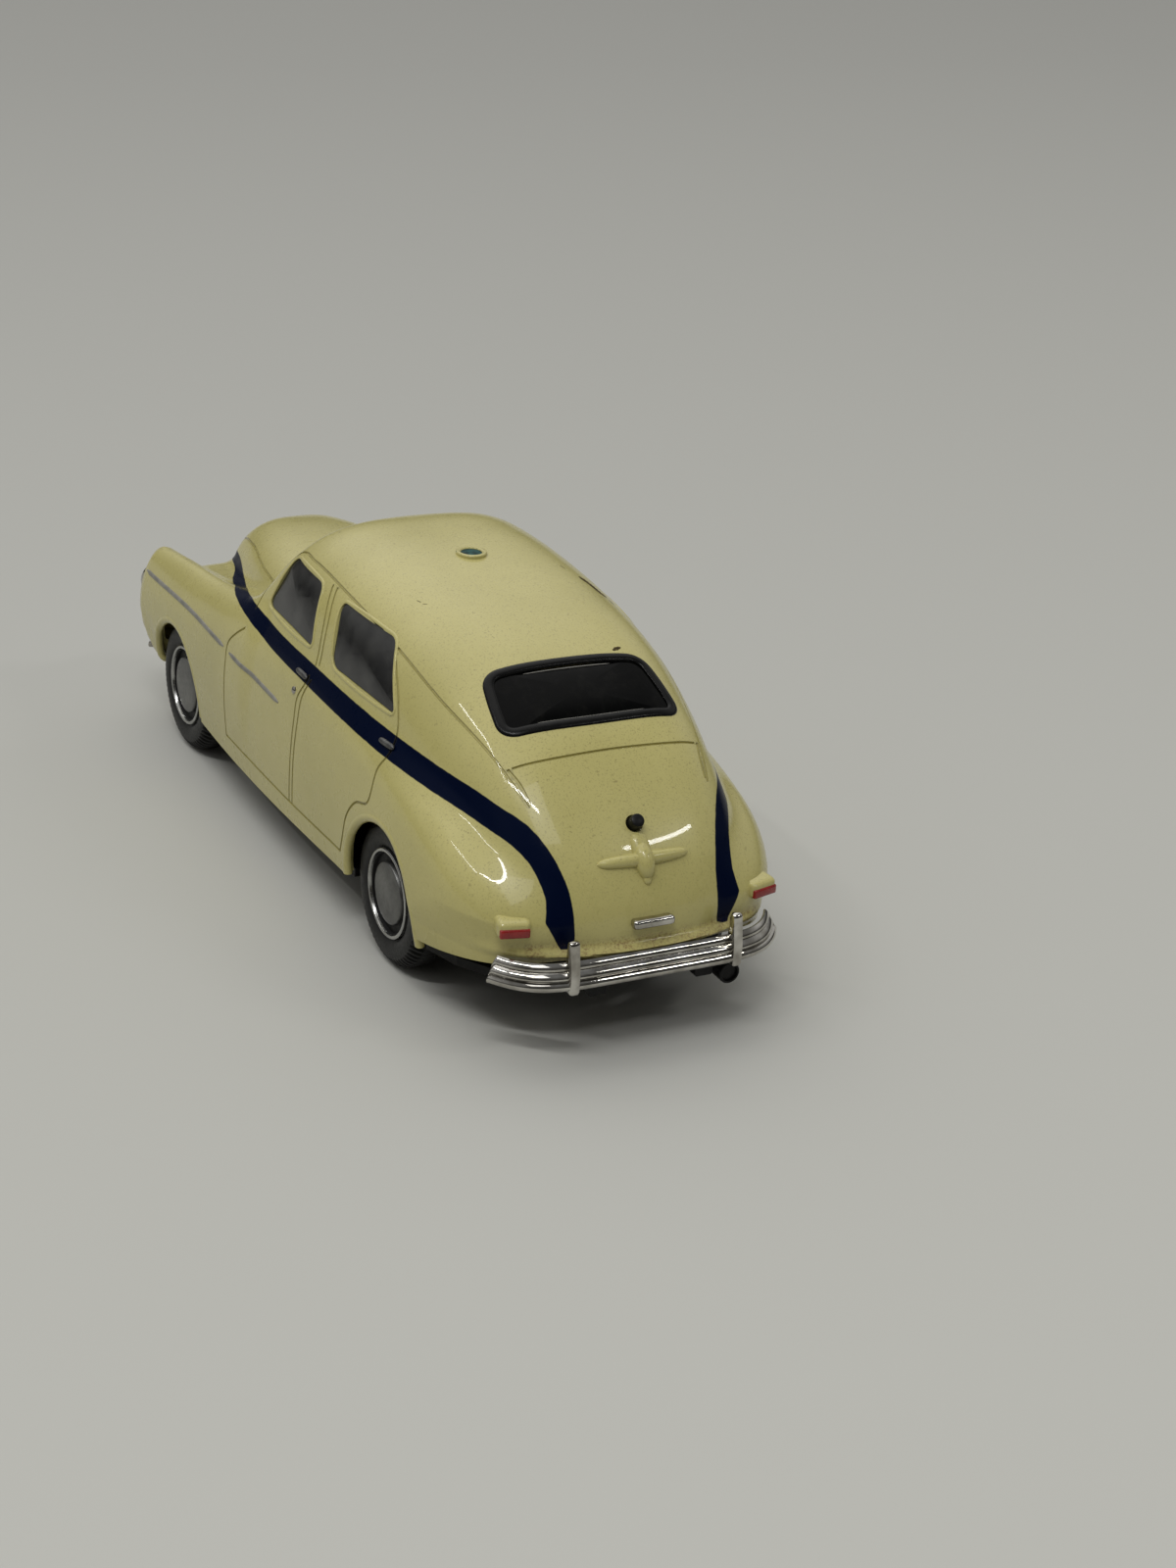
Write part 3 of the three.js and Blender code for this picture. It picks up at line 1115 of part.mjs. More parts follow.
for (const [end, x] of [['front', AXLE_FRONT_X], ['rear', AXLE_REAR_X]]) {
  const wheelset = new THREE.Group();
  car.add(wheelset);
  place(`${end}_axle`, axle(x), STEEL, wheelset);
  for (const [side, hand] of [['left', 1], ['right', -1]]) {
    place(`rim_${end}_${side}`, rim(x, hand), SATIN, wheelset);
    place(`tyre_${end}_${side}`, tyre(x, hand), RUBBER, wheelset);
  }
}

export default car;
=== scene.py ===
"""Looks of the die-cast toy saloon: paint, plating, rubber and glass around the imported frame."""
import math

import bmesh
import bpy
import numpy as np
from mathutils import Matrix, Vector

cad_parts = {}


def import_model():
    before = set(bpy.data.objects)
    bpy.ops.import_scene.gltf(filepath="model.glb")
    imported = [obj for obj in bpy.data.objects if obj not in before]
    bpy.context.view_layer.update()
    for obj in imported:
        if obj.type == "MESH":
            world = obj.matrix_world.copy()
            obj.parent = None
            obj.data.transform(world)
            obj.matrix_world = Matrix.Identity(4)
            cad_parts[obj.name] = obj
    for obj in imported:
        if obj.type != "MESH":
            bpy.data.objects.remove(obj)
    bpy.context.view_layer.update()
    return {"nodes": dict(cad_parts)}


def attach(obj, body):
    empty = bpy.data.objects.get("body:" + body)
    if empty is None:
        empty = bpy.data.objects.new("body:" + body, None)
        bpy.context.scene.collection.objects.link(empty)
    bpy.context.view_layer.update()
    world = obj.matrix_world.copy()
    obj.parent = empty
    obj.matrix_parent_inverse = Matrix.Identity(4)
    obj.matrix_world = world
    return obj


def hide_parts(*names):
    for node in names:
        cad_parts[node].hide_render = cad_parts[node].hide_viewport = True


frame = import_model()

# Sizes in millimetres, the same as the part's
MM = 0.001
HALF_LENGTH = 54.25
BODY_HALF_WIDTH = 19.5
WIDEST_Y = 19.66
ROOF_Z = 38.2
BELT_Z = 26.6
BONNET_Z = 28.1
WING_Z = 25.4
NOSE_X = HALF_LENGTH - 2.7
TAIL_X = 2.65 - HALF_LENGTH
TUCK_Z = 14.5
AXLE_FRONT_X = HALF_LENGTH - 17.85
AXLE_REAR_X = 27.75 - HALF_LENGTH
AXLE_Z = 8.3 * math.cos(math.pi / 24)
WHEEL_FACE_Y = BODY_HALF_WIDTH - 1.3
TYRE_RADIUS = AXLE_Z
TYRE_WIDTH = 4.4
TYRE_INSET = 0.2
RIM_RADIUS = 5.0
RIM_LIP = 0.45
RIM_WIDTH = 4.2
RIM_RECESS = 0.9
HUB_CAP_RADIUS = 3.5
HUB_CAP_SINK = 0.25
ARCHES = [(AXLE_FRONT_X + 0.9, 9.0), (AXLE_REAR_X - 0.9, 9.75)]
ARCH_Z = AXLE_Z - 0.6
ARCH_INNER_Y = BODY_HALF_WIDTH - 7
BODY_WALL = 1.2
GLASS_DEPTH = BODY_WALL + 0.2
GLASS_WALL = 0.6
PANE_DEPTH = 0.1
PANE_GAP = 0.06
SCREEN_X = AXLE_FRONT_X - 16.4
SCREEN_LEAN = math.radians(55)
SCREEN_SWEEP = 0.14
SCREEN_OUTLINE = [(0.8, 2.4), (14.0, 2.4), (11.0, 10.0), (0.8, 10.0)]
WINDOW_LOW_Z = BELT_Z + 0.6
WINDOW_TOP_Z = ROOF_Z - 4.7
WINDOW_CORNER = 1.3
FRONT_WINDOW = [(12.4, WINDOW_LOW_Z), (-2.1, WINDOW_LOW_Z), (0.7, WINDOW_TOP_Z), (10.6, WINDOW_TOP_Z)]
REAR_WINDOW = [(-7.7, WINDOW_LOW_Z), (-23.1, WINDOW_LOW_Z), (-17.3, WINDOW_TOP_Z), (-4.6, WINDOW_TOP_Z)]
BACKLIGHT_X = -33.6
BACKLIGHT_OUTLINE = [(-10.1, -4.0), (10.1, -4.0), (9.1, 4.0), (-9.1, 4.0)]
BACKLIGHT_CORNER = 1.9
BUMPER_Z = 8.6
BUMPER_RIB = 0.9
BUMPER_STEP = 0.5
RIB_LEAN = 0.42
BUMPER_BACK = 1.6
BUMPER_ROOM = 0.3
BUMPER_WRAP = 4.9
BUMPER_BEND = 6
BUMPERS = {"front": (1, BODY_HALF_WIDTH - 1.3), "rear": (-1, BODY_HALF_WIDTH - 2.5)}
GUARD_Y = 9.4
IRON_Y = 6.2
LEDGE_Z = BUMPER_Z + 3 * BUMPER_RIB
LEDGE_REACH = 2.1
LEDGE_HEIGHT = 0.6
LEDGE_HALF_WIDTH = BODY_HALF_WIDTH - 2.0
BOOT_X = 16.25 - HALF_LENGTH
BOOT_GROWTH = 10
LAMP_Y = BODY_HALF_WIDTH - 3.7
LAMP_Z = 16.6
LAMP_RADIUS = 2.4
TAIL_LAMP_Y = BODY_HALF_WIDTH - 5.2
TAIL_LAMP_Z = 14.5
TAIL_LAMP_TURN = math.radians(14)
PLATE_LAMP_Z = 14.1
PEG_Z = 22.7
BOOT_HANDLE_Z = 19.8
BOOT_HANDLE_SPAN = 5.2
ROOF_BOSS_X = -6.2
SPINE_FRONT_X = NOSE_X - 18
SPINE_REAR_X = TAIL_X + 15.6
HEART_Z = 11.0
RAY_REACH = 45.0
RAY_STEP = 0.5
RAY_HALVINGS = 20
PIPE_Y = -9.9
PIPE_Z = 6.3
PIPE_START = 43.0
PIPE_END = 52.2
PIPE_RADIUS = 1.2
PIPE_BORE = 0.9
GRILLE_BARS_Z = (13.2, 14.6, 16.0)
GRILLE_BAR_HALF = 9.2
GUARD_HALF_WIDTH = 0.575
IRON_LOW_Z = 7.1
IRON_TOP_Z = 8.2
IRON_START = 43.5
IRON_END = 53.0
DUST_TOP_Z = 13.0
DUST_FADE_Z = 0.8
DUST_FRONT_X = -48.0
DUST_FADE_X = 2.0
SIDES = {"left": 1, "right": -1}

# Mesh fineness: columns at each end and along the side, rows below and above the heart
SHELL_GRID = (44, 170, 12, 96)
CAVITY_GRID = (24, 70, 8, 40)
GLASS_GRID = (24, 90, 6, 60)
GLASS_FIRST_ROW = 30
CAVITY_LOW_Z = -4
ARCH_FACETS = 128
WHEEL_FACETS = 96
LAMP_FACETS = 64
PIPE_FACETS = 40
PEG_FACETS = 32
MERGE_DISTANCE = 1e-5
SHARP_ANGLE = math.radians(35)
SMOOTH_SHARE = 0.8

# Heights of the cutters' ends over the plane of each opening
SIDE_CUT = (11.5, 24)
BACKLIGHT_CUT = (-4, 3)
SCREEN_CUT = (-2.7, 2.7)
PANE_START = -5

# Body lines as (share of the half length, value)
SIDE_WIDTH = [(-0.977, -2.9), (-0.848, -1.6), (-0.7, -0.7), (-0.461, -0.2), (-0.092, 0), (0.221, -0.1),
              (0.516, -0.5), (0.774, -1.2), (0.959, -2.3)]
SIDE_TOP = [(-0.977, -11.4), (-0.848, -8), (-0.7, -5), (-0.461, -1.6), (-0.092, 0), (0.221, -0.3),
            (0.406, -2), (0.59, -4.4), (0.774, -6), (0.959, -7.3)]
ROOF = [(-0.977, -19.5), (-0.848, -13.2), (-0.737, -8.9), (-0.608, -5.6), (-0.461, -2.8), (-0.276, -0.9),
        (-0.092, -0.1), (0.037, 0), (0.147, -0.4), (0.258, -2.2), (0.369, -5)]
CABIN_WIDTH = [(-0.977, -8.3), (-0.848, -6.6), (-0.7, -4.3), (-0.516, -2.5), (-0.276, -1.7), (0, -1.6),
               (0.276, -2.1), (0.461, -2.7)]
BONNET_WIDTH = [(0.092, -4.3), (0.332, -5.3), (0.553, -7.7), (0.737, -9.8), (0.866, -11.3), (0.995, -12.9)]
BONNET_TOP = [(0.092, 0.2), (0.332, 0), (0.553, -0.3), (0.737, -1.1), (0.848, -2.3), (0.959, -4.8)]
WING_TOP = [(0.184, 0), (0.406, -0.8), (0.627, -1.8), (0.811, -2.8), (0.959, -3.8)]
LOWER_EDGE = [(-0.977, 10.8), (-0.848, 9.4), (-0.7, 8.2), (-0.313, 7), (0.516, 6.5), (0.7, 7.6),
              (0.848, 8.6), (0.977, 9.2)]

# Panel lines on the left side, as points near the surface
PANEL_LINES = {
    "drip": [(14.7, 17.3, 26.1), (14.9, 16, 28.4), (12.9, 14.6, 31.4), (10.3, 13.4, 34), (5.7, 13.7, 34.5),
             (-4.6, 14, 34.2), (-17.2, 14, 33), (-28.4, 13.5, 30.7), (-38.9, 11.5, 27.2),
             (-43.3, 10.2, 24.2)],
    "lid_edge": [(-39.6, 11, 27.1), (-41.2, 10.4, 26.1), (-43.1, 10, 24.5)],
    "door_front": [(14.7, 18.6, 23.8), (16.5, 19, 22.5), (18.2, 19.3, 20.8), (18.4, 19.6, 17.7),
                   (18.5, 19.3, 8.8)],
    "door_middle": [(-3.8, 18.2, 24.8), (-3.6, 18.4, 23.8), (-2.6, 18.9, 21.7), (-2.6, 19.2, 19),
                    (-2.5, 19.5, 15.5), (-2.1, 19.3, 8.9)],
    "door_second": [(-4.6, 18.2, 24.5), (-3.7, 18.9, 21.9), (-3.6, 19.2, 19), (-3.4, 19.5, 15.5),
                    (-3.0, 19.3, 8.9)],
    "door_foot": [(18.5, 19.3, 8.8), (7, 19.2, 8.8), (-2.5, 19.3, 8.9), (-17, 19.3, 9.3)],
    "door_rear": [(-17, 19.3, 9.3), (-17.7, 19.4, 11.2), (-18.6, 19.5, 14.2), (-20.6, 19.4, 16.6),
                  (-23.6, 19.2, 17.9), (-24.1, 18.9, 20.1), (-24.2, 18.4, 22), (-24.8, 17.5, 23.7),
                  (-24.4, 16.6, 26), (-22.9, 15.8, 28.6), (-18.4, 14.3, 32.5)],
    "pillar_front": [(-4.2, 17.5, 26), (-3.1, 16.1, 30.4), (-1, 14.2, 34)],
    "pillar_rear": [(-5, 17.3, 26.2), (-4, 16, 30.7), (-2.1, 14.1, 34)],
    "bonnet_side": [(22, 12.2, 26), (30, 10.6, 25.2), (40, 7.6, 24.4), (46, 6, 22.6), (50, 5.2, 19)],
}
CROSS_LINES = {
    "boot_top": [(-39.8, 10.6, 27.2), (-40.5, 6.9, 28), (-40.7, 0, 28.4), (-40.5, -6.9, 28),
                 (-39.8, -10.6, 27.2)],
    "cowl": [(21, 12.2, 26.4), (21.6, 8, 27), (22, 0, 27.5), (21.6, -8, 27), (21, -12.2, 26.4)],
}
GROOVE_HALF_WIDTH = 0.14
GROOVE_DEPTH = 0.26

# Middle of the painted stripe on the left side, and half of its width there
STRIPE = [((48, 7.4, 21), 0.7), ((42.2, 9, 21.6), 0.75), ((37.4, 10.7, 21.5), 0.75), ((30, 13.2, 23), 0.8),
          ((21.5, 16.2, 25.1), 0.8), ((14.9, 17.5, 25.5), 0.95), ((9.5, 17.8, 25.1), 1.05),
          ((-3.8, 17.9, 24.8), 1.2), ((-23, 17.3, 24.4), 1.3), ((-31.6, 16, 24), 1.3), ((-41, 13.4, 23), 1.3),
          ((-44.9, 11.6, 21.9), 1.3), ((-46.6, 10.7, 20.7), 1.2), ((-48.5, 9.9, 18.6), 1.2),
          ((-49.7, 9.6, 16.9), 1.25), ((-50.7, 9.8, 14.6), 1.55), ((-51.1, 9.8, 12.6), 1.55),
          ((-51.3, 9.8, 11.4), 1.5)]
STRIPE_END_REACH = 6

# Slanted lower end of the stripe, as (across, up)
STRIPE_CORNER = (11.3, 14.9)
STRIPE_FOOT = (9.7, 11.9)

# Plated strips and handles on the left side
SIDE_TRIMS = [[(49.5, 17.2, 18.4), (40, 18.4, 19.4), (30, 18.9, 19.9), (19.5, 19.4, 19.8)],
              [(17.5, 19.5, 19.7), (10, 19.4, 19.5), (2.2, 19.2, 19.3)]]
HANDLES_X = [-2.4, -23.8]
HANDLE_Z = BELT_Z - 2.2

# Scratches through the enamel, as (points near the surface, half width)
SCRATCHES = [([(-12.6, -10.3, 36.4), (-14.5, -11, 35.9), (-15.9, -11.4, 35.5), (-16.6, -11.9, 35.2)], 0.5),
             ([(-17, -11.9, 35.1), (-17.9, -12.1, 34.8)], 0.18),
             ([(-10.2, -9, 37), (-11.2, -9.3, 36.9)], 0.09),
             ([(-28.7, -6.3, 34.1), (-28.4, -6.9, 34.1), (-28.1, -7.5, 34)], 0.34),
             ([(-14.2, 10.1, 36.3), (-14.8, 9.9, 36.3)], 0.1),
             ([(-15.2, 9.9, 36.3), (-15.6, 9.5, 36.3)], 0.11)]


# Body surface

def through(knots, x):
    """Value of a body line at x: cubic between its knots and straight past the ends."""
    at = np.asarray(x, float) / HALF_LENGTH
    xs = np.array([knot[0] for knot in knots])
    values = np.array([knot[1] for knot in knots], float)
    secant = np.diff(values) / np.diff(xs)
    slope = np.concatenate([secant[:1], (secant[1:] + secant[:-1]) / 2, secant[-1:]])
    i = np.clip(np.searchsorted(xs, at) - 1, 0, len(xs) - 2)
    span = xs[i + 1] - xs[i]
    t = np.clip((at - xs[i]) / span, 0, 1)
    low = values[i] * (1 + 2 * t) * (1 - t) ** 2 + slope[i] * span * t * (1 - t) ** 2
    high = values[i + 1] * (3 - 2 * t) * t**2 - slope[i + 1] * span * (1 - t) * t**2
    past = slope[0] * np.minimum(at - xs[0], 0) + slope[-1] * np.maximum(at - xs[-1], 0)
    return low + high + past


def soft_min(a, b, reach):
    near = np.maximum(reach - np.abs(a - b), 0) / reach
    return np.minimum(a, b) - near * near * reach / 4


def soft_max(a, b, reach):
    return -soft_min(-a, -b, reach)


def low_tuck(z):
    return 0.05 * np.maximum(TUCK_Z - z, 0) ** 2


def ledge(y, z):
    """Lip of the body over the rear bumper."""
    fade = np.maximum(1 - (y / LEDGE_HALF_WIDTH) ** 6, 0)
    return LEDGE_REACH * np.exp(-(((z - LEDGE_Z) / LEDGE_HEIGHT) ** 2)) * fade


def flanks(x, y, z):
    lean = np.where(z < 14, 1.3 * ((14 - z) / 14) ** 2, 1.5 * ((z - 14) / 12) ** 2)
    side = y - BODY_HALF_WIDTH - through(SIDE_WIDTH, x) + lean
    front = x - NOSE_X + 0.003 * y**2 + 0.012 * (z - 13) ** 2 + low_tuck(z)
    tail = TAIL_X + 0.008 * y**2 + 0.012 * (z - 12) ** 2 + low_tuck(z) - ledge(y, z) - x
    low = np.clip((TUCK_Z - z) / 4, 0, 1)
    plan = soft_max(soft_max(side, front, 5 + 9 * low), tail, 9 + 7 * low)
    return soft_max(plan, z - BELT_Z - through(SIDE_TOP, x), 5)


def bonnet(x, y, z):
    side = y - BODY_HALF_WIDTH - through(BONNET_WIDTH, x)
    top = z - BONNET_Z - through(BONNET_TOP, x) + 0.012 * y**2
    nose = x - NOSE_X - 0.6 + 0.016 * (z - 14) ** 2 + 0.012 * y**2
    return np.maximum(soft_max(soft_max(side, top, 7), nose, 6), SCREEN_X - 12 - x)


def cabin(x, y, z):
    base = 10
    square = np.clip((BOOT_X - x) / BOOT_GROWTH, 0, 1)
    power = 3.6 + 1.4 * square**2 * (3 - 2 * square)
    across = np.maximum(BODY_HALF_WIDTH + through(CABIN_WIDTH, x), 1)
    rise = np.maximum(ROOF_Z + through(ROOF, x) - base, 1)
    gauge = ((y / across) ** power + (np.maximum(z - base, 0) / rise) ** power) ** (1 / power)
    tube = (gauge - 1) * np.minimum(across, rise)
    screen = (x + SCREEN_SWEEP * y - SCREEN_X) * math.sin(SCREEN_LEAN)
    screen = screen + (z - BELT_Z + 1) * math.cos(SCREEN_LEAN)
    back = TAIL_X - 0.3 + 0.01 * y**2 + 0.034 * np.maximum(z - 13, 0) ** 2 - x
    return soft_max(soft_max(tube, screen, 1.8), back, 6)


def front_wing(x, y, z):
    across, rise = 3.0, 8
    off = y - BODY_HALF_WIDTH + 3.6
    lift = z - WING_Z - through(WING_TOP, x) + rise
    crown = (np.hypot(off / across, lift / rise) - 1) * across
    face = x - NOSE_X - 0.6 + 0.025 * off**2 + 0.018 * (z - 15.5) ** 2 + 2 * low_tuck(z)
    return soft_max(soft_max(crown, face, 1.8), SCREEN_X - 8 - x, 3)


def rear_wing(x, y, z):
    along = (x - AXLE_REAR_X + 5.5) / 17.2
    across = (y - BODY_HALF_WIDTH + 6.7) / 6.4
    return (np.sqrt(along**2 + across**2 + ((z - 10.5) / 10.2) ** 2) - 1) * 6.4


def field(points):
    """Distance-like value of the whole body at each point, below zero inside."""
    x, y, z = points[..., 0], np.abs(points[..., 1]), points[..., 2]
    value = soft_min(flanks(x, y, z), bonnet(x, y, z), 1.2)
    value = soft_min(value, cabin(x, y, z), 1.6)
    value = soft_min(value, front_wing(x, y, z), 2)
    return soft_min(value, rear_wing(x, y, z), 3)


def slope_of(points):
    """Gradient of the body field."""
    step = 0.02
    moves = np.eye(3) * step
    return np.stack([(field(points + m) - field(points - m)) / (2 * step) for m in moves], -1)


def outward(points):
    slope = slope_of(points)
    return slope / np.linalg.norm(slope, axis=-1, keepdims=True)


def hit(origin, way, depth=0.0):
    """Outermost point where a ray from inside the body meets its surface, or the surface a depth below it."""
    origin, way = np.broadcast_arrays(np.asarray(origin, float), np.asarray(way, float))
    near = np.zeros(origin.shape[:-1])
    for reach in np.arange(RAY_STEP, RAY_REACH, RAY_STEP):
        inside = field(origin + way * reach) < -depth
        near = np.where(inside, reach, near)
    far = near + RAY_STEP
    for _ in range(RAY_HALVINGS):
        middle = (near + far) / 2
        inside = field(origin + way * middle[..., None]) < -depth
        near = np.where(inside, middle, near)
        far = np.where(inside, far, middle)
    return origin + way * near[..., None]


def snapped(points):
    """Points moved along the field's slope onto the body."""
    points = np.array(points, float)
    for _ in range(12):
        slope = slope_of(points)
        points -= field(points)[..., None] * slope / np.sum(slope**2, -1, keepdims=True)
    return points


def body_half(depth, low, fan, sides, lower, upper):
    """Grid over the body's left half: columns run from nose to tail, rows from below to the top."""
    turns = np.linspace(0, math.pi / 2, fan, endpoint=False)
    angles = np.concatenate([turns, np.full(sides, math.pi / 2), math.pi - turns[::-1]])
    ends = np.full(fan, SPINE_FRONT_X), np.full(fan, SPINE_REAR_X)
    xs = np.concatenate([ends[0], np.linspace(SPINE_FRONT_X, SPINE_REAR_X, sides), ends[1]])
    level = np.stack([np.cos(angles), np.sin(angles), np.zeros_like(angles)], -1)
    flat = np.stack([xs, np.zeros_like(xs), np.full_like(xs, HEART_Z)], -1)
    start = hit(flat, level, depth)
    foot_z = np.full_like(xs, low) if low is not None else through(LOWER_EDGE, start[:, 0])
    foot = np.stack([xs, xs * 0, foot_z], -1)
    shares = np.linspace(0, 1, lower, endpoint=False)
    starts = np.stack([np.stack([xs, xs * 0, foot_z + (HEART_Z - foot_z) * s], -1) for s in shares])
    rises = np.linspace(0, math.pi / 2, upper)
    ways = np.stack([level * math.cos(rise) + np.array([0, 0, math.sin(rise)]) for rise in rises])
    rows = np.concatenate([foot[None], hit(starts, level, depth), hit(flat, ways, depth)])
    return rows.swapaxes(0, 1).copy()


# Mesh helpers; a mesh here is a pair of points and faces

def gathered(*meshes):
    points, faces = [], []
    for these, those in meshes:
        start = sum(len(p) for p in points)
        points.append(np.asarray(these, float))
        faces += [tuple(i + start for i in face) for face in those]
    return np.concatenate(points), faces


def mirrored(mesh):
    points, faces = mesh
    return np.asarray(points) * [1, -1, 1], [(face[0], *reversed(face[1:])) for face in faces]


def both(mesh):
    return gathered(mesh, mirrored(mesh))


def grid_faces(rows, columns, closed=False):
    """Quads of a grid whose points run along each row in turn."""
    faces = []
    for i in range(rows - 1):
        for j in range(columns if closed else columns - 1):
            k = (j + 1) % columns
            faces.append((i * columns + j, i * columns + k, (i + 1) * columns + k, (i + 1) * columns + j))
    return faces


def closed_body(depth, low, fan, sides, lower, upper):
    grid = body_half(depth, low, fan, sides, lower, upper)
    grid[..., 1] = np.minimum(grid[..., 1], WIDEST_Y)
    columns, rows, _ = grid.shape
    return both((grid.reshape(-1, 3), grid_faces(columns, rows)))


def skin(rings, caps=True):
    """Closed rings joined one to the next, with flat ends."""
    rings = np.asarray(rings, float)
    count, sides, _ = rings.shape
    faces = grid_faces(count, sides, closed=True)
    if caps:
        faces.append(tuple(range(sides)))
        faces.append(tuple(range((count - 1) * sides, count * sides))[::-1])
    return rings.reshape(-1, 3), faces


def hoop(rings):
    """Closed rings joined into a ring."""
    rings = np.asarray(rings, float)
    return skin(np.concatenate([rings, rings[:1]]), caps=False)


def turned(profile, at, way, sides, closed=False):
    """Profile of (radius, height) turned about an axis."""
    way = np.asarray(way, float)
    side = np.cross(way, [0, 0, 1] if abs(way[2]) < 0.9 else [1, 0, 0])
    side /= np.linalg.norm(side)
    up = np.cross(way, side)
    angles = np.linspace(0, 2 * math.pi, sides, endpoint=False)
    circle = np.cos(angles)[:, None] * side + np.sin(angles)[:, None] * up
    rings = [np.asarray(at, float) + radius * circle + height * way for radius, height in profile]
    return hoop(rings) if closed else skin(rings)


def resampled(points, spacing, closed=False):
    """Smooth curve through points, as points about a spacing apart."""
    points = np.asarray(points, float)
    if closed:
        points = np.concatenate([points[-2:], points, points[:3]])
    chord = np.concatenate([[0], np.cumsum(np.linalg.norm(np.diff(points, axis=0), axis=1))])
    tangent = np.gradient(points, chord, axis=0)
    first, last = (chord[2], chord[-3]) if closed else (chord[0], chord[-1])
    count = max(int((last - first) / spacing), 4)
    at = np.linspace(first, last, count + 1)[:count if closed else None]
    i = np.clip(np.searchsorted(chord, at, side="right") - 1, 0, len(chord) - 2)
    span = (chord[i + 1] - chord[i])[:, None]
    t = ((at - chord[i]) / span[:, 0])[:, None]
    low = points[i] * (1 + 2 * t) * (1 - t) ** 2 + tangent[i] * span * t * (1 - t) ** 2
    return low + points[i + 1] * (3 - 2 * t) * t**2 - tangent[i + 1] * span * (1 - t) * t**2


def swept(path, ups, section, closed=False, scales=None):
    """Section of (across, up) carried along a path."""
    path, ups = np.asarray(path, float), np.asarray(ups, float)
    if closed:
        ahead = np.roll(path, -1, 0) - np.roll(path, 1, 0)
    else:
        ahead = np.gradient(path, axis=0)
    ahead /= np.linalg.norm(ahead, axis=1, keepdims=True)
    across = np.cross(ahead, ups)
    across /= np.linalg.norm(across, axis=1, keepdims=True)
    ups = np.cross(across, ahead)
    scales = np.ones(len(path)) if scales is None else np.asarray(scales)
    rings = [p + s * np.array([a * u + b * v for u, v in section])
             for p, a, b, s in zip(path, across, ups, scales)]
    return hoop(rings) if closed else skin(rings)


def oval(half_width, height, sides=12, sink=0.0):
    """Closed oval section, set down by a sink."""
    angles = np.linspace(0, 2 * math.pi, sides, endpoint=False)
    return [(half_width * math.cos(a), height * math.sin(a) - sink) for a in angles]


def rounded(corners, radius, steps=8):
    """Outline with each corner rounded."""
    corners = np.asarray(corners, float)
    outline = []
    for before, here, after in zip(np.roll(corners, 1, 0), corners, np.roll(corners, -1, 0)):
        start = here + (before - here) / np.linalg.norm(before - here) * radius
        end = here + (after - here) / np.linalg.norm(after - here) * radius
        for t in np.linspace(0, 1, steps + 1):
            outline.append((1 - t) ** 2 * start + 2 * t * (1 - t) * here + t**2 * end)
    return np.array(outline)


def box(half_width, low, top):
    """Corners of a flat box about the middle line."""
    return [(-half_width, low), (half_width, low), (half_width, top), (-half_width, top)]


def from_ends(count):
    """Steps from each point of a path to its nearer end."""
    steps = np.arange(count)
    return np.minimum(steps, steps[::-1])


def domed(share, power, least=0.02):
    """Scale that falls off round from 1 at a share of 0 to a least size at 1."""
    return np.sqrt(np.maximum(1 - share**power, least))


def grown(outline, by):
    """Outline moved outward along its normals."""
    outline = np.asarray(outline, float)
    ahead = np.roll(outline, -1, 0) - np.roll(outline, 1, 0)
    ahead /= np.linalg.norm(ahead, axis=1, keepdims=True)
    turning = np.sum(np.cross(outline, np.roll(outline, -1, 0)))
    normal = np.stack([ahead[:, 1], -ahead[:, 0]], 1) * (1 if turning > 0 else -1)
    return outline + normal * by


def placed(outline, height, basis, origin):
    """Points of a flat outline at a height over a plane."""
    left, up, out = np.asarray(basis, float)
    return np.asarray(origin) + outline[:, :1] * left + outline[:, 1:] * up + height * out


def pushed(outline, layers, basis, origin):
    """Solid over an outline; each layer is (height, growth of the outline)."""
    rings = [placed(grown(outline, by), height, basis, origin) for height, by in layers]
    return skin(rings)


def new_object(name, mesh):
    points, faces = mesh
    data = bpy.data.meshes.new(name)
    data.from_pydata((np.asarray(points) * MM).tolist(), [], faces)
    shape = bmesh.new()
    shape.from_mesh(data)
    bmesh.ops.remove_doubles(shape, verts=shape.verts, dist=MERGE_DISTANCE * MM)
    bmesh.ops.recalc_face_normals(shape, faces=shape.faces)
    shape.to_mesh(data)
    shape.free()
    obj = bpy.data.objects.new(name, data)
    bpy.context.scene.collection.objects.link(obj)
    return obj


def dress(obj, material, slot, body="car", replaced=()):
    obj.data.shade_smooth()
    obj.data.set_sharp_from_angle(angle=SHARP_ANGLE)
    obj.data.materials.clear()
    obj.data.materials.append(material)
    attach(obj, body)
    if replaced:
        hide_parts(*replaced)
    return obj


def piece(name, mesh, material, slot, **rest):
    return dress(new_object(name, mesh), material, slot, **rest)


# Material helpers

def material(name):
    made = bpy.data.materials.new(name)
    made.use_nodes = True
    return made, made.node_tree, made.node_tree.nodes["Principled BSDF"]


def node(tree, kind, values=None, **settings):
    made = tree.nodes.new("ShaderNode" + kind)
    for key, value in settings.items():
        setattr(made, key, value)
    for key, value in (values or {}).items():
        if isinstance(value, bpy.types.NodeSocket):
            tree.links.new(value, made.inputs[key])
        else:
            made.inputs[key].default_value = value
    return made


def noise(tree, scale, detail=4.0, roughness=0.55):
    place = node(tree, "TexCoord").outputs["Object"]
    made = node(tree, "TexNoise", {"Vector": place, "Scale": scale, "Detail": detail, "Roughness": roughness})
    return made.outputs["Fac"]


def spread(tree, value, low, high, to_low=0.0, to_high=1.0):
    settings = {"Value": value, "From Min": low, "From Max": high, "To Min": to_low, "To Max": to_high}
    return node(tree, "MapRange", settings, clamp=True).outputs["Result"]


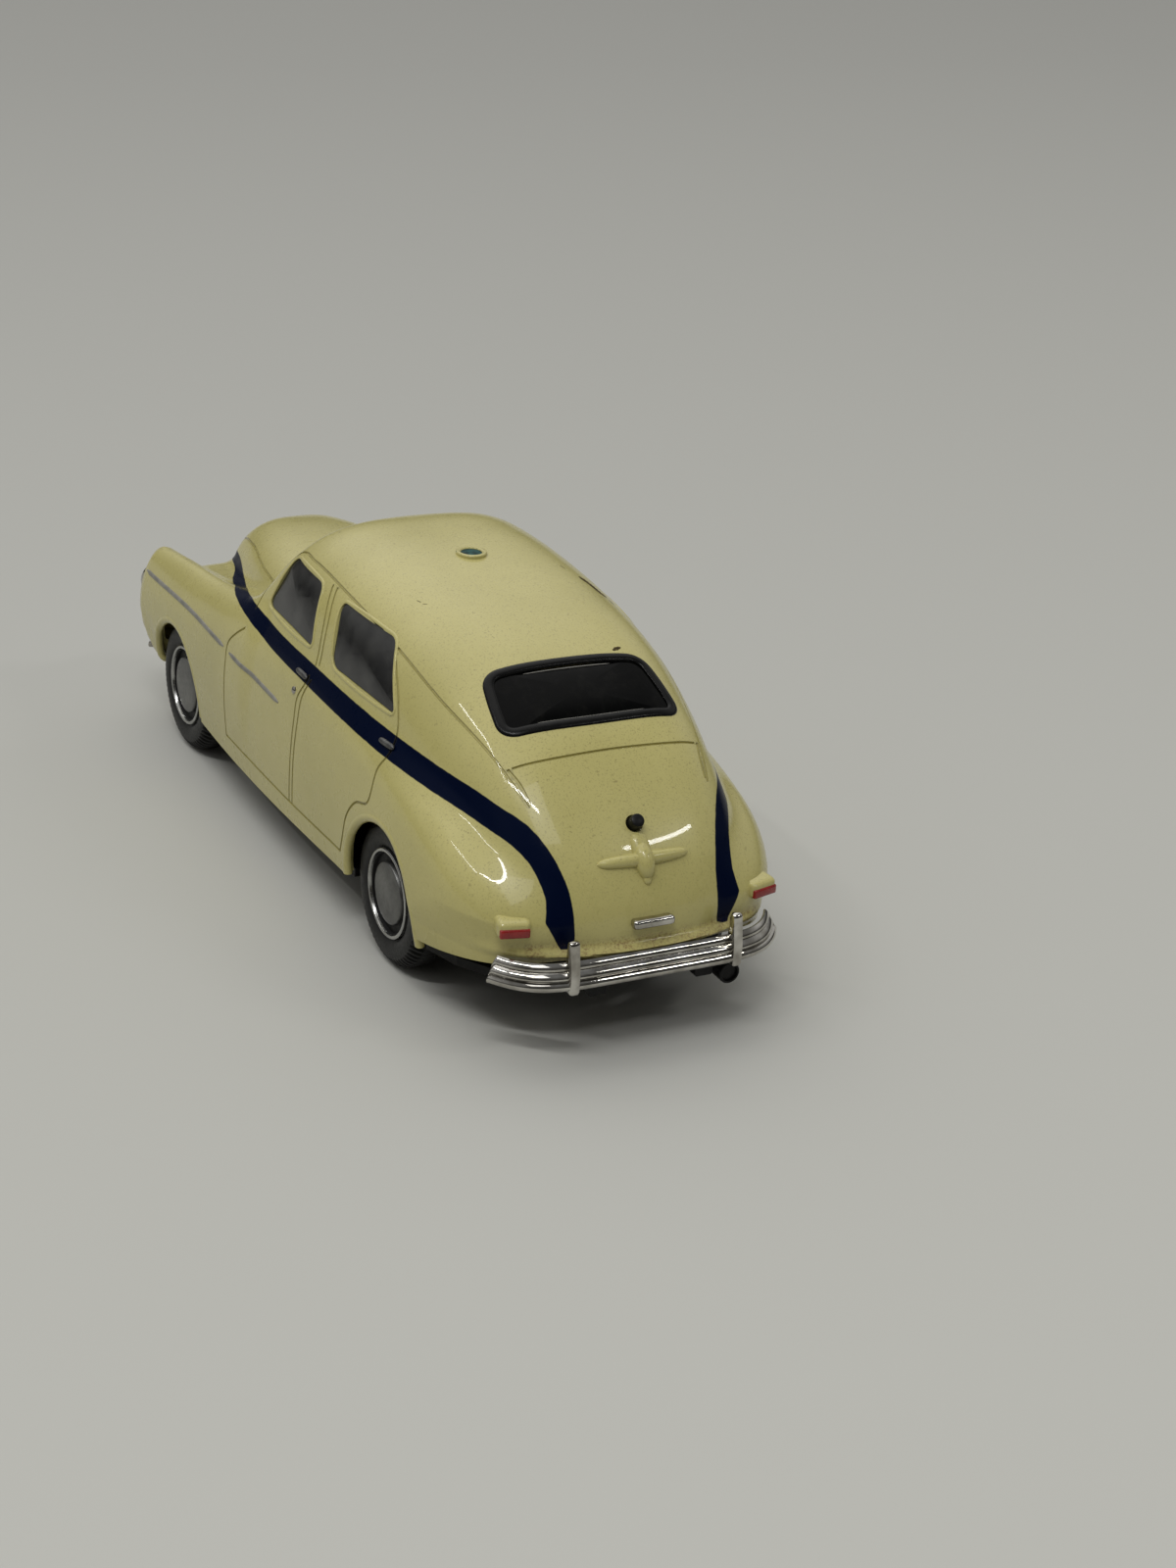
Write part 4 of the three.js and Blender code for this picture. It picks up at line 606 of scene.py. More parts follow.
def eased(tree, value, low, high):
    """Share that rises from 0 to 1 without a corner at either end."""
    settings = {"Value": value, "From Min": low, "From Max": high}
    return node(tree, "MapRange", settings, interpolation_type="SMOOTHSTEP").outputs["Result"]


def mixed(tree, share, first, second):
    made = tree.nodes.new("ShaderNodeMix")
    made.data_type = "RGBA"
    colours = [s for s in made.inputs if s.type == "RGBA"]
    for target, value in zip([made.inputs["Factor"], *colours], [share, first, second]):
        if isinstance(value, bpy.types.NodeSocket):
            tree.links.new(value, target)
        else:
            target.default_value = (*value, 1) if isinstance(value, tuple) and len(value) == 3 else value
    return next(s for s in made.outputs if s.type == "RGBA")


def times(tree, first, second):
    return node(tree, "Math", {0: first, 1: second}, operation="MULTIPLY").outputs[0]


def bump(tree, shader, height, strength, distance):
    made = node(tree, "Bump", {"Height": height, "Strength": strength, "Distance": distance})
    tree.links.new(made.outputs["Normal"], shader.inputs["Normal"])


def simple(name, dark, light, roughness, scale, metallic=0.0, grain=0.0, coat=0.0, shine=0.5):
    """Material whose colour and roughness wander between two values."""
    made, tree, shader = material(name)
    cloud = noise(tree, scale)
    tree.links.new(mixed(tree, spread(tree, cloud, 0.35, 0.65), dark, light), shader.inputs["Base Color"])
    fine = noise(tree, scale * 6)
    tree.links.new(spread(tree, fine, 0.3, 0.7, *roughness), shader.inputs["Roughness"])
    shader.inputs["Metallic"].default_value = metallic
    shader.inputs["Coat Weight"].default_value = coat
    shader.inputs["Specular IOR Level"].default_value = shine
    if grain:
        bump(tree, shader, noise(tree, scale * 14), 0.4, grain)
    return made


CREAM_DARK = (0.475, 0.428, 0.158)
CREAM_LIGHT = (0.525, 0.473, 0.182)
NAVY = (0.0012, 0.004, 0.018)
SPECK = (0.2, 0.16, 0.06)
# Olive tone painted into the panel lines as shade
GROOVE_SHADE = (0.11, 0.095, 0.035)
DUST = (0.27, 0.19, 0.075)
SMOKE_DARK = (0.03, 0.03, 0.03)
SMOKE_LIGHT = (0.075, 0.075, 0.07)
BACKLIGHT_DARK = (0.0016, 0.0017, 0.0016)
BACKLIGHT_DUST = (0.011, 0.0105, 0.009)


def paint():
    """Old cream enamel with the dark stripe, specks, painted shade in the panel lines and dust over the
    bumper.
    """
    made, tree, shader = material("cream_enamel")
    cream = mixed(tree, spread(tree, noise(tree, 60), 0.35, 0.65), CREAM_DARK, CREAM_LIGHT)
    normal = node(tree, "TexCoord").outputs["Normal"]
    upward = spread(tree, node(tree, "SeparateXYZ", {0: normal}).outputs["Z"], 0, 0.8, 0.25, 1)
    fine = spread(tree, noise(tree, 5200, 2.0), 0.56, 0.7, 0, 0.5)
    cream = mixed(tree, times(tree, fine, upward), cream, SPECK)
    coarse = spread(tree, noise(tree, 2100, 2.0), 0.68, 0.73, 0, 0.5)
    cream = mixed(tree, times(tree, coarse, upward), cream, SPECK)
    stripe = node(tree, "Attribute", attribute_name="stripe").outputs["Fac"]
    wander = spread(tree, noise(tree, 900), 0, 1, -0.06, 0.06)
    ragged = node(tree, "Math", {0: stripe, 1: wander}, operation="ADD")
    banded = spread(tree, ragged.outputs[0], -0.04, 0.04, 1, 0)
    colour = mixed(tree, banded, cream, NAVY)
    # Painted shade: the cream turns olive along the panel-line grooves
    groove = node(tree, "Attribute", attribute_name="groove").outputs["Fac"]
    colour = mixed(tree, spread(tree, groove, -0.05, 0.05, 0.75, 0), colour, GROOVE_SHADE)
    dust = node(tree, "Attribute", attribute_name="dust").outputs["Fac"]
    heaps = times(tree, dust, spread(tree, noise(tree, 620, 6.0, 0.7), 0.36, 0.56))
    heaps = times(tree, heaps, spread(tree, banded, 0, 1, 1, 0.1))
    grains = spread(tree, noise(tree, 3600, 3.0, 0.7), 0.45, 0.6, 0.15, 1)
    colour = mixed(tree, times(tree, heaps, grains), colour, DUST)
    tree.links.new(colour, shader.inputs["Base Color"])
    tree.links.new(spread(tree, noise(tree, 450), 0.3, 0.7, 0.24, 0.34), shader.inputs["Roughness"])
    tree.links.new(spread(tree, banded, 0, 1, 0.22, 0.03), shader.inputs["Specular IOR Level"])
    tree.links.new(spread(tree, banded, 0, 1, 0.5, 0.05), shader.inputs["Coat Weight"])
    shader.inputs["Coat Roughness"].default_value = 0.03
    bump(tree, shader, noise(tree, 240, 3.0), 0.2, 0.0001)
    return made


def smoked_glass():
    made, tree, shader = material("smoked_glass")
    haze = spread(tree, noise(tree, 260, 5.0), 0.4, 0.7)
    tree.links.new(mixed(tree, haze, SMOKE_DARK, SMOKE_LIGHT), shader.inputs["Base Color"])
    tree.links.new(spread(tree, noise(tree, 900), 0.3, 0.7, 0.08, 0.22), shader.inputs["Roughness"])
    shader.inputs["Transmission Weight"].default_value = 0.45
    return made


def clear_glass(name, tint):
    made, tree, shader = material(name)
    shade = tuple(c * 0.85 for c in tint)
    tree.links.new(mixed(tree, noise(tree, 800), tint, shade), shader.inputs["Base Color"])
    tree.links.new(spread(tree, noise(tree, 1500), 0.3, 0.7, 0.06, 0.16), shader.inputs["Roughness"])
    shader.inputs["Transmission Weight"].default_value = 0.6
    return made


def dark_glass():
    """Back window: near black, with a little dust."""
    made, tree, shader = material("dark_glass")
    dust = spread(tree, noise(tree, 420, 6.0, 0.7), 0.5, 0.8, 0, 0.6)
    tree.links.new(mixed(tree, dust, BACKLIGHT_DARK, BACKLIGHT_DUST), shader.inputs["Base Color"])
    tree.links.new(spread(tree, noise(tree, 900), 0.3, 0.7, 0.1, 0.22), shader.inputs["Roughness"])
    shader.inputs["Specular IOR Level"].default_value = 0.05
    return made


PAINT = paint()
GLASS = smoked_glass()
DARK_GLASS = dark_glass()
LENS = clear_glass("clear_lens", (0.8, 0.8, 0.78))
RED = simple("red_lens", (0.21, 0.006, 0.006), (0.31, 0.011, 0.009), (0.16, 0.3), 900, coat=0.2)
CHROME = simple("plating", (0.3, 0.284, 0.25), (0.58, 0.562, 0.522), (0.03, 0.1), 420, metallic=1.0)
RING = simple("ring_plating", (0.3, 0.3, 0.29), (0.46, 0.46, 0.45), (0.16, 0.3), 420, metallic=1.0)
HUB = simple("hub_metal", (0.12, 0.12, 0.117), (0.19, 0.19, 0.184), (0.3, 0.46), 420,
             metallic=0.9, grain=0.00001)
DULL = simple("dull_metal", (0.07, 0.07, 0.07), (0.14, 0.14, 0.135), (0.3, 0.5), 900, metallic=0.7)
STEEL = simple("axle_steel", (0.4, 0.4, 0.4), (0.52, 0.52, 0.52), (0.25, 0.45), 420, metallic=1.0)
RUBBER = simple("tyre_rubber", (0.007, 0.007, 0.007), (0.013, 0.013, 0.0125), (0.38, 0.56), 520,
                grain=0.00002, shine=0.3)
SEAL = simple("seal_rubber", (0.003, 0.003, 0.003), (0.006, 0.006, 0.0055), (0.16, 0.3), 620,
              grain=0.00001, shine=0.14)
BLACK = simple("base_black", (0.005, 0.005, 0.005), (0.01, 0.01, 0.01), (0.45, 0.65), 420,
               grain=0.00002, shine=0.2)
PLASTIC = simple("black_plastic", (0.004, 0.004, 0.004), (0.008, 0.008, 0.008), (0.3, 0.5), 700, shine=0.2)
TRIM = simple("grey_trim", (0.03, 0.029, 0.027), (0.05, 0.048, 0.045), (0.5, 0.75), 420, grain=0.00003)
STRIP = simple("grey_strip", (0.2, 0.195, 0.17), (0.29, 0.28, 0.25), (0.35, 0.55), 700, metallic=0.2)
TEAL = simple("glue_residue", (0.006, 0.014, 0.014), (0.02, 0.1, 0.095), (0.4, 0.7), 900,
              grain=0.00008, shine=0.2)
CHIP = simple("bare_casting", (0.022, 0.016, 0.006), (0.12, 0.085, 0.03), (0.5, 0.7), 2600,
              grain=0.00005, shine=0.08)


# Body shell

def groove_tube(points):
    path = snapped(resampled(points, 0.5))
    half = GROOVE_HALF_WIDTH
    floor_half = half * 0.55
    section = [(-half, 0.25), (-half, -0.05), (-floor_half, -GROOVE_DEPTH), (floor_half, -GROOVE_DEPTH),
               (half, -0.05), (half, 0.25)]
    return swept(path, outward(path), section), path


def side_frame(hand):
    """Axes of a side view: along the car, up and out."""
    return [(1, 0, 0), (0, 0, 1), (0, hand, 0)]


def backlight_frame():
    middle = hit((BACKLIGHT_X, 0, HEART_Z), (0, 0, 1))
    out = outward(middle)
    return [(0, 1, 0), np.cross((0, 1, 0), out), out], middle


def screen_frame(hand):
    sine, cosine = math.sin(SCREEN_LEAN), math.cos(SCREEN_LEAN)
    out = np.array([sine, hand * SCREEN_SWEEP * sine, cosine])
    out /= np.linalg.norm(out)
    left = np.array([-SCREEN_SWEEP, hand, 0]) / math.hypot(1, SCREEN_SWEEP)
    up = np.cross(out, left) * hand
    return [left, up, out], np.array([SCREEN_X, 0, BELT_Z - 1])


FRONT_FRAME = [(0, 1, 0), (0, 0, 1), (1, 0, 0)]
GRILLE_OUTLINE = rounded(box(9.6, 12.0, 17.2), 1.0)


def lamp_seat(hand):
    return hit((SPINE_FRONT_X, hand * LAMP_Y, LAMP_Z), (1, 0, 0))


def on_tail(y, z):
    """Points of a rear view carried back to the body's tail."""
    return hit(np.stack(np.broadcast_arrays(SPINE_REAR_X, y, z), -1), (-1, 0, 0))


def peg_seat():
    seat = on_tail(0, PEG_Z)
    return seat, outward(seat)


def bumper_path(half_width, stations):
    share = np.sin(np.linspace(-math.pi / 2, math.pi / 2, stations))
    x = HALF_LENGTH - BUMPER_WRAP * np.abs(share) ** BUMPER_BEND
    return np.stack([x, half_width * share, np.full_like(x, BUMPER_Z)], 1)


def bumper_sweep(section, half_width, stations, end, scales=None):
    """Section of (depth, height) carried along the bumper's face, at the front or turned to the rear."""
    path = bumper_path(half_width, stations)
    upright = np.tile([0, 0, 1.0], (len(path), 1))
    points, faces = swept(path, upright, [(-depth, height) for depth, height in section], scales=scales)
    return points * [end, end, 1], faces


def window_cut(outline, hand):
    layers = [(height, 0) for height in SIDE_CUT]
    return pushed(rounded(outline, WINDOW_CORNER), layers, side_frame(hand), (0, 0, 0))


def arch_cut(arch, hand):
    x, radius = arch
    seat = (x, hand * ARCH_INNER_Y, ARCH_Z)
    return turned([(radius, 0), (radius, 10)], seat, (0, hand, 0), ARCH_FACETS)


def openings():
    """Cutters that keep clear of one another."""
    basis, middle = backlight_frame()
    seat, out = peg_seat()
    layers = [(height, 0) for height in BACKLIGHT_CUT]
    cuts = [pushed(rounded(BACKLIGHT_OUTLINE, BACKLIGHT_CORNER), layers, basis, middle),
            pushed(GRILLE_OUTLINE, [(NOSE_X - 4, 0.1), (HALF_LENGTH, 0.1)], FRONT_FRAME, (0, 0, 0)),
            turned([(0.95, -0.9), (0.95, 2)], seat, out, PEG_FACETS)]
    bore = LAMP_RADIUS + 0.1
    for hand in SIDES.values():
        cuts.append(turned([(bore, -2.5), (bore, 6)], lamp_seat(hand), (1, 0, 0), LAMP_FACETS))
        cuts += [window_cut(FRONT_WINDOW, hand), window_cut(REAR_WINDOW, hand)]
        cuts += [arch_cut(arch, hand) for arch in ARCHES]
    return gathered(*cuts)


def screens():
    outline = rounded(SCREEN_OUTLINE, WINDOW_CORNER)
    layers = [(height, 0) for height in SCREEN_CUT]
    return gathered(*[pushed(outline, layers, *screen_frame(hand)) for hand in SIDES.values()])


def bumper_rooms():
    low, top, back = -BUMPER_ROOM, 2.85, BUMPER_BACK + BUMPER_ROOM
    section = [(-1, low), (-1, top), (back, top), (back, low)]
    return gathered(*[bumper_sweep(section, half + BUMPER_ROOM, 48, end) for end, half in BUMPERS.values()])


def distance_to(points, path):
    """Distance of each point from a polyline, and where along it the nearest place is."""
    best = np.full(len(points), 1e9)
    where = np.zeros(len(points))
    for i, (a, b) in enumerate(zip(path[:-1], path[1:])):
        along = b - a
        t = np.clip((points - a) @ along / (along @ along), 0, 1)
        away = np.linalg.norm(points - a - t[:, None] * along, axis=1)
        closer = away < best
        best = np.where(closer, away, best)
        where = np.where(closer, i + t, where)
    return best, where


def stripe_values(points):
    path = snapped(resampled([p for p, _ in STRIPE], 1.5))
    knots = np.array([p for p, _ in STRIPE], float)
    along = np.concatenate([[0], np.cumsum(np.linalg.norm(np.diff(knots, axis=0), axis=1))])
    widths = np.interp(np.linspace(0, along[-1], len(path)), along, [w for _, w in STRIPE])
    away, where = distance_to(points, path)
    side = away - np.interp(where, range(len(path)), widths)
    fall = np.array(STRIPE_FOOT) - STRIPE_CORNER
    over = np.array([-fall[1], fall[0]]) / np.linalg.norm(fall)
    slant = (points[:, 1:] - STRIPE_CORNER) @ over
    end = np.maximum(slant, STRIPE_FOOT[1] - points[:, 2])
    return np.where(points[:, 0] < TAIL_X + STRIPE_END_REACH, np.maximum(side, end), side)


def set_value(mesh, name, values):
    made = mesh.attributes.new(name, "FLOAT", "POINT")
    made.data.foreach_set("value", np.asarray(values, np.float32))


def get_rows(items, what):
    """Values of three numbers each from a mesh's points or faces."""
    values = np.empty(len(items) * 3, np.float32)
    items.foreach_get(what, values)
    return values.reshape(-1, 3).astype(float)


def get_counts(items, what):
    values = np.empty(len(items), np.int32)
    items.foreach_get(what, values)
    return values


def paint_values(mesh, grooves):
    """Paint's point values: stripe edge, panel lines and dust."""
    points = get_rows(mesh.vertices, "co") / MM
    folded = points.copy()
    folded[:, 1] = np.abs(folded[:, 1])
    set_value(mesh, "stripe", stripe_values(folded))
    groove = np.full(len(points), 1e3)
    for path in grooves:
        near = np.min(path, 0) - 3
        far = np.max(path, 0) + 3
        close = np.all((folded > near) & (folded < far), 1)
        if close.any():
            groove[close] = np.minimum(groove[close], distance_to(folded[close], path)[0])
    set_value(mesh, "groove", groove - GROOVE_HALF_WIDTH * 1.05)
    low = np.clip((DUST_TOP_Z - points[:, 2]) / DUST_FADE_Z, 0, 1)
    rear = np.clip((DUST_FRONT_X - points[:, 0]) / DUST_FADE_X, 0, 1)
    set_value(mesh, "dust", low * rear)


def true_normals(mesh):
    """Body's own normals where the casting's outer face was not cut."""
    body = outward(get_rows(mesh.vertices, "co") / MM)[get_counts(mesh.loops, "vertex_index")]
    flat = np.repeat(get_rows(mesh.polygons, "normal"), get_counts(mesh.polygons, "loop_total"), 0)
    keep = np.sum(body * flat, 1) > SMOOTH_SHARE
    mesh.normals_split_custom_set(np.where(keep[:, None], body, flat).tolist())


def body_shell():
    shell = new_object("body_casting", closed_body(0, None, *SHELL_GRID))
    cutters = [new_object("cavity", closed_body(BODY_WALL, CAVITY_LOW_Z, *CAVITY_GRID))]
    cutters.append(new_object("openings", openings()))
    cutters.append(new_object("screens", screens()))
    cutters.append(new_object("bumper_rooms", bumper_rooms()))
    grooves = []
    for name, line in (PANEL_LINES | CROSS_LINES).items():
        tube, path = groove_tube(line)
        cutters.append(new_object("line_" + name, both(tube) if name in PANEL_LINES else tube))
        grooves.append(path)
    for cutter in cutters:
        step = shell.modifiers.new(cutter.name, "BOOLEAN")
        step.operation = "DIFFERENCE"
        step.solver = "MANIFOLD"
        step.object = cutter
    bpy.context.view_layer.update()
    ready = bpy.data.meshes.new_from_object(shell.evaluated_get(bpy.context.evaluated_depsgraph_get()))
    shell.modifiers.clear()
    shell.data = ready
    for cutter in cutters:
        bpy.data.meshes.remove(cutter.data)
    paint_values(ready, grooves)
    dress(shell, PAINT, "cream_paint", replaced=["body_shell"])
    true_normals(ready)


body_shell()


# Castings and trim on the shell

def plain_values(obj):
    """Stripe, panel-line and dust values of a piece that has none."""
    for name, value in (("stripe", 9.0), ("groove", 9.0), ("dust", 0.0)):
        set_value(obj.data, name, np.full(len(obj.data.vertices), value))


def painted(name, mesh):
    plain_values(piece(name, mesh, PAINT, "cream_paint"))


def side_points(outline, depth=0.0):
    """Points of a side view carried out to the body's left side, or to a depth below it."""
    outline = np.asarray(outline, float)
    origin = np.stack([outline[:, 0], np.zeros(len(outline)), outline[:, 1]], 1)
    return hit(origin, (0, 1, 0), depth)


def window_frames():
    for name, outline in (("front", FRONT_WINDOW), ("rear", REAR_WINDOW)):
        path = side_points(resampled(grown(rounded(outline, WINDOW_CORNER), 0.16), 0.35, closed=True))
        bead = swept(path, outward(path), oval(0.22, 0.13, sink=0.03), closed=True)
        painted(f"window_frame_{name}", both(bead))


def arch_lips():
    for name, (x, radius) in zip(("front", "rear"), ARCHES):
        turns = np.linspace(math.radians(-4), math.radians(184), 90)
        reach = radius - 0.3
        path = side_points(np.stack([x + reach * np.cos(turns), ARCH_Z + reach * np.sin(turns)], 1))
        points, faces = swept(path, outward(path), oval(0.62, 0.5, 16, 0.44))
        points[:, 1] = np.minimum(points[:, 1], WIDEST_Y)
        painted(f"arch_lip_{name}", both((points, faces)))


def side_trims():
    for name, line in zip(("wing", "door"), SIDE_TRIMS):
        path = snapped(resampled(line, 0.6))
        ends = np.minimum(1, 0.35 + 0.4 * from_ends(len(path)))
        strip = swept(path, outward(path), oval(0.28, 0.16), scales=ends)
        piece(f"side_trim_{name}", both(strip), STRIP, "satin_metal")


def door_handles():
    half = 1.45
    for name, x in zip(("front", "rear"), HANDLES_X):
        along = np.linspace(-half, half, 21)
        path = side_points(np.stack([x + along, np.full_like(along, HANDLE_Z)], 1))
        ups = outward(path)
        bar = swept(path + ups * 0.18, ups, oval(0.34, 0.28), scales=domed(along / half, 6, 0.04))
        if name == "front":
            lock = side_points(np.array([[x + 0.9, HANDLE_Z - 2.2]]))[0]
            profile = [(0.01, 0.26), (0.26, 0.22), (0.42, 0.1), (0.47, -0.1)]
            piece("door_locks", both(turned(profile, lock, outward(lock), 20)), CHROME, "plating")
        piece(f"door_handles_{name}", both(bar), DULL, "satin_metal")


def arc_points(middle, radius, height, first, last, count):
    turns = np.radians(np.linspace(first, last, count))
    level = np.stack([np.cos(turns), np.sin(turns), np.zeros(count)], 1)
    return middle + radius * level + [0, 0, height]


def roof_disc():
    """Cast ring of the lost roof lamp, with old glue in it and over its far edge."""
    seat = hit((ROOF_BOSS_X, 0, HEART_Z), (0, 0, 1))
    ring = [(1.2, -0.2), (1.75, -0.2), (1.75, 0.2), (1.68, 0.29), (1.5, 0.34), (1.32, 0.3), (1.2, 0.18)]
    painted("roof_ring", turned(ring, seat, (0, 0, 1), 48, closed=True))
    glue = [turned([(0.01, 0.16), (0.6, 0.2), (1.0, 0.15), (1.25, 0.12), (1.25, -0.1)], seat, (0, 0, 1), 32)]
    path = arc_points(seat, 1.5, 0.22, 78, -84, 40)
    steps = np.arange(len(path))
    lumps = 0.75 + 0.25 * np.sin(steps * 1.9) * np.cos(steps * 0.7)
    glue.append(swept(path, np.tile([0, 0, 1.0], (len(path), 1)), oval(0.3, 0.09), scales=lumps))
    piece("roof_glue", gathered(*glue), TEAL, "black_plastic")


def scratches():
    strokes = []
    for points, half in SCRATCHES:
        path = snapped(resampled(points, 0.12))
        steps = np.arange(len(path))
        ends = np.sqrt(np.minimum(1, 0.1 + from_ends(len(path)) / 5))
        rough = 0.75 + 0.25 * np.sin(steps * 2.3) * np.sin(steps * 0.8 + 1)
        section = [(u * half, v) for u, v in oval(1, 0.02, 10)]
        strokes.append(swept(path, outward(path), section, scales=ends * rough))
    piece("scratches", gathered(*strokes), CHIP, "black_base")


def boot_handle():
    """Winged casting: a bar with rounded ends, an egg-shaped boss and a neck and a foot that fade out."""
    def bead(across, height, half_width, thickness, scales):
        path = on_tail(across, BOOT_HANDLE_Z + height)
        return swept(path, outward(path), oval(half_width, thickness, 20), scales=scales)

    across = np.linspace(-1, 1, 61)
    taper = (1 - 0.38 * np.abs(across)) * domed(across, 10)
    bar = bead(across * BOOT_HANDLE_SPAN, 0, 0.8, 0.82, taper)
    rise = np.linspace(-1, 1, 41)
    boss = bead(0, 1.6 * rise - 0.2, 1.1, 1.2, domed(rise, 2))
    share = np.linspace(0, 1, 31)
    neck = bead(0, 0.3 + 1.9 * share, 1.05, 0.55, domed(share, 4))
    foot = bead(0, -1.2 - 1.1 * share, 0.5, 0.42, domed(share, 4))
    painted("boot_handle", gathered(bar, boss, neck, foot))


def boot_peg():
    seat, out = peg_seat()
    profile = [(0.01, 1.1), (0.58, 1.1), (0.7, 1.02), (0.74, 0.86), (0.74, -0.6), (0.6, -1.15), (0.01, -1.15)]
    stub = turned(profile, seat, out, PEG_FACETS)
    piece("boot_peg_stub", stub, PLASTIC, "black_plastic", replaced=["boot_peg"])


def tail_lamp_frame(hand):
    seat = on_tail(hand * TAIL_LAMP_Y, TAIL_LAMP_Z)
    out = np.array([-math.cos(TAIL_LAMP_TURN), hand * math.sin(TAIL_LAMP_TURN), 0])
    return [np.cross((0, 0, 1), out), (0, 0, 1), out], seat + out * 0.9


def tail_lamps():
    hood = rounded(box(1.62, -1.0, 0.72), 0.5)
    lens = rounded(box(1.56, -0.9, 0.1), 0.22)
    for name, hand in SIDES.items():
        basis, face = tail_lamp_frame(hand)
        layers = [(-2.1, 0.2), (-1.0, 0.12), (-0.5, 0.06), (-0.24, -0.04), (-0.08, -0.18), (0, -0.36)]
        painted(f"tail_lamp_box_{name}", pushed(hood, layers, basis, face))
        layers = [(-0.9, 0), (0.02, 0), (0.12, -0.06), (0.18, -0.16)]
        glass = pushed(lens, layers, basis, face)
        piece(f"tail_lens_{name}", glass, RED, "red_lens", replaced=[f"tail_lamp_lens_{name}"])


def plate_lamp():
    seat = on_tail(0, PLATE_LAMP_Z)
    outline = rounded(box(2.4, -0.52, 0.52), 0.5)
    layers = [(-0.6, -0.1), (0.25, -0.1), (0.4, 0), (0.7, 0), (0.9, -0.1), (1, -0.25)]
    lamp = pushed(outline, layers, [(0, -1, 0), (0, 0, 1), (-1, 0, 0)], seat)
    piece("plate_lamp_bar", lamp, CHROME, "plating", replaced=["plate_lamp"])


def headlamps():
    for name, hand in SIDES.items():
        seat = lamp_seat(hand)
        edge = LAMP_RADIUS
        ring = [(edge - 0.5, -2.4), (edge, -2.4), (edge, 0.1), (edge - 0.04, 0.28), (edge - 0.16, 0.42),
                (edge - 0.28, 0.45), (edge - 0.42, 0.36), (edge - 0.5, 0.2)]
        bezel = turned(ring, seat, (1, 0, 0), LAMP_FACETS, closed=True)
        piece(f"headlamp_ring_{name}", bezel, CHROME, "plating", replaced=[f"headlamp_bezel_{name}"])
        edge = LAMP_RADIUS - 0.55
        dome = [(0.01, -2.4), (edge, -2.4), (edge, 0.1), (edge * 0.9, 0.3), (edge * 0.72, 0.5),
                (edge * 0.48, 0.66), (edge * 0.24, 0.74), (0.01, 0.76)]
        glass = turned(dome, seat, (1, 0, 0), LAMP_FACETS)
        piece(f"headlamp_glass_{name}", glass, LENS, "clear_lens", replaced=[f"headlamp_lens_{name}"])


def grille():
    face = hit((SPINE_FRONT_X, 0, GRILLE_BARS_Z[1]), (1, 0, 0))[0] - 0.35
    rim = placed(grown(GRILLE_OUTLINE, -0.3), face - 0.2, FRONT_FRAME, (0, 0, 0))
    parts = [swept(rim, np.tile([1.0, 0, 0], (len(rim), 1)), oval(0.3, 0.22), closed=True)]
    parts.append(pushed(GRILLE_OUTLINE, [(face - 1.3, -0.05), (face - 0.7, -0.05)], FRONT_FRAME, (0, 0, 0)))
    ys = np.linspace(-GRILLE_BAR_HALF, GRILLE_BAR_HALF, 21)
    for z in GRILLE_BARS_Z:
        bar = np.stack([np.full_like(ys, face - 0.25), ys, np.full_like(ys, z)], 1)
        parts.append(swept(bar, np.tile([1.0, 0, 0], (len(ys), 1)), oval(0.34, 0.25)))
    piece("grille_bars", gathered(*parts), CHROME, "plating", replaced=["grille"])


def rib_section():
    """Three rounded ribs, each set back from the one below, as (depth, height)."""
    section = []
    for rib in range(3):
        for share in np.linspace(0.03, 0.97, 13):
            crown = 0.24 * (2 * share - 1) ** 2
            lean = RIB_LEAN * (share - 0.5) if rib else 0
            section.append((BUMPER_STEP * rib + lean + crown, BUMPER_RIB * (rib + share)))
    return section + [(BUMPER_BACK, BUMPER_RIB * 2.9), (BUMPER_BACK, 0.05)]


def bumper_guard(hand, end):
    profile = rounded([(0, -0.5), (-1.7, -0.5), (-1.7, 2.7), (-1.45, 5.3), (-0.6, 5.3), (0, 1.8)], 0.42, 6)
    half = [(GUARD_HALF_WIDTH, -0.3), (0.5, -0.12), (0.3, 0)]
    layers = [(-height, by) for height, by in half] + half[::-1]
    points, faces = pushed(profile, layers, side_frame(1), (HALF_LENGTH, hand * GUARD_Y, BUMPER_Z))
    return points * [end, end, 1], faces


def bumper_iron(hand, end):
    section = rounded(box(1, IRON_LOW_Z, IRON_TOP_Z), 0.25, 3)
    points, faces = pushed(section, [(IRON_START, 0), (IRON_END, 0)], FRONT_FRAME, (0, hand * IRON_Y, 0))
    return points * [end, end, 1], faces


def bumpers():
    stations = 120
    scales = np.sqrt(np.minimum(1, 0.45 + from_ends(stations) / 9))
    for name, (end, half) in BUMPERS.items():
        parts = [bumper_sweep(rib_section(), half, stations, end, scales)]
        parts += [bumper_guard(hand, end) for hand in SIDES.values()]
        piece(f"bumper_{name}", gathered(*parts), CHROME, "plating", replaced=[f"{name}_bumper"])
        irons = gathered(*[bumper_iron(hand, end) for hand in SIDES.values()])
        piece(f"bumper_irons_{name}", irons, BLACK, "black_base")


def tail_pipe():
    """Pipe whose bore is closed a little way in."""
    axis = (0, PIPE_Y, PIPE_Z)
    rings = [(PIPE_RADIUS, PIPE_START), (PIPE_RADIUS, PIPE_END - 0.1), (PIPE_RADIUS - 0.08, PIPE_END),
             (PIPE_BORE + 0.05, PIPE_END), (PIPE_BORE, PIPE_END - 0.2), (PIPE_BORE, PIPE_START)]
    pipe = turned(rings, axis, (-1, 0, 0), PIPE_FACETS, closed=True)
    plug = turned([(1.0, PIPE_END - 1), (1.0, PIPE_END - 0.3)], axis, (-1, 0, 0), PIPE_FACETS)
    piece("exhaust", gathered(pipe, plug), PLASTIC, "black_base", replaced=["tail_pipe"])


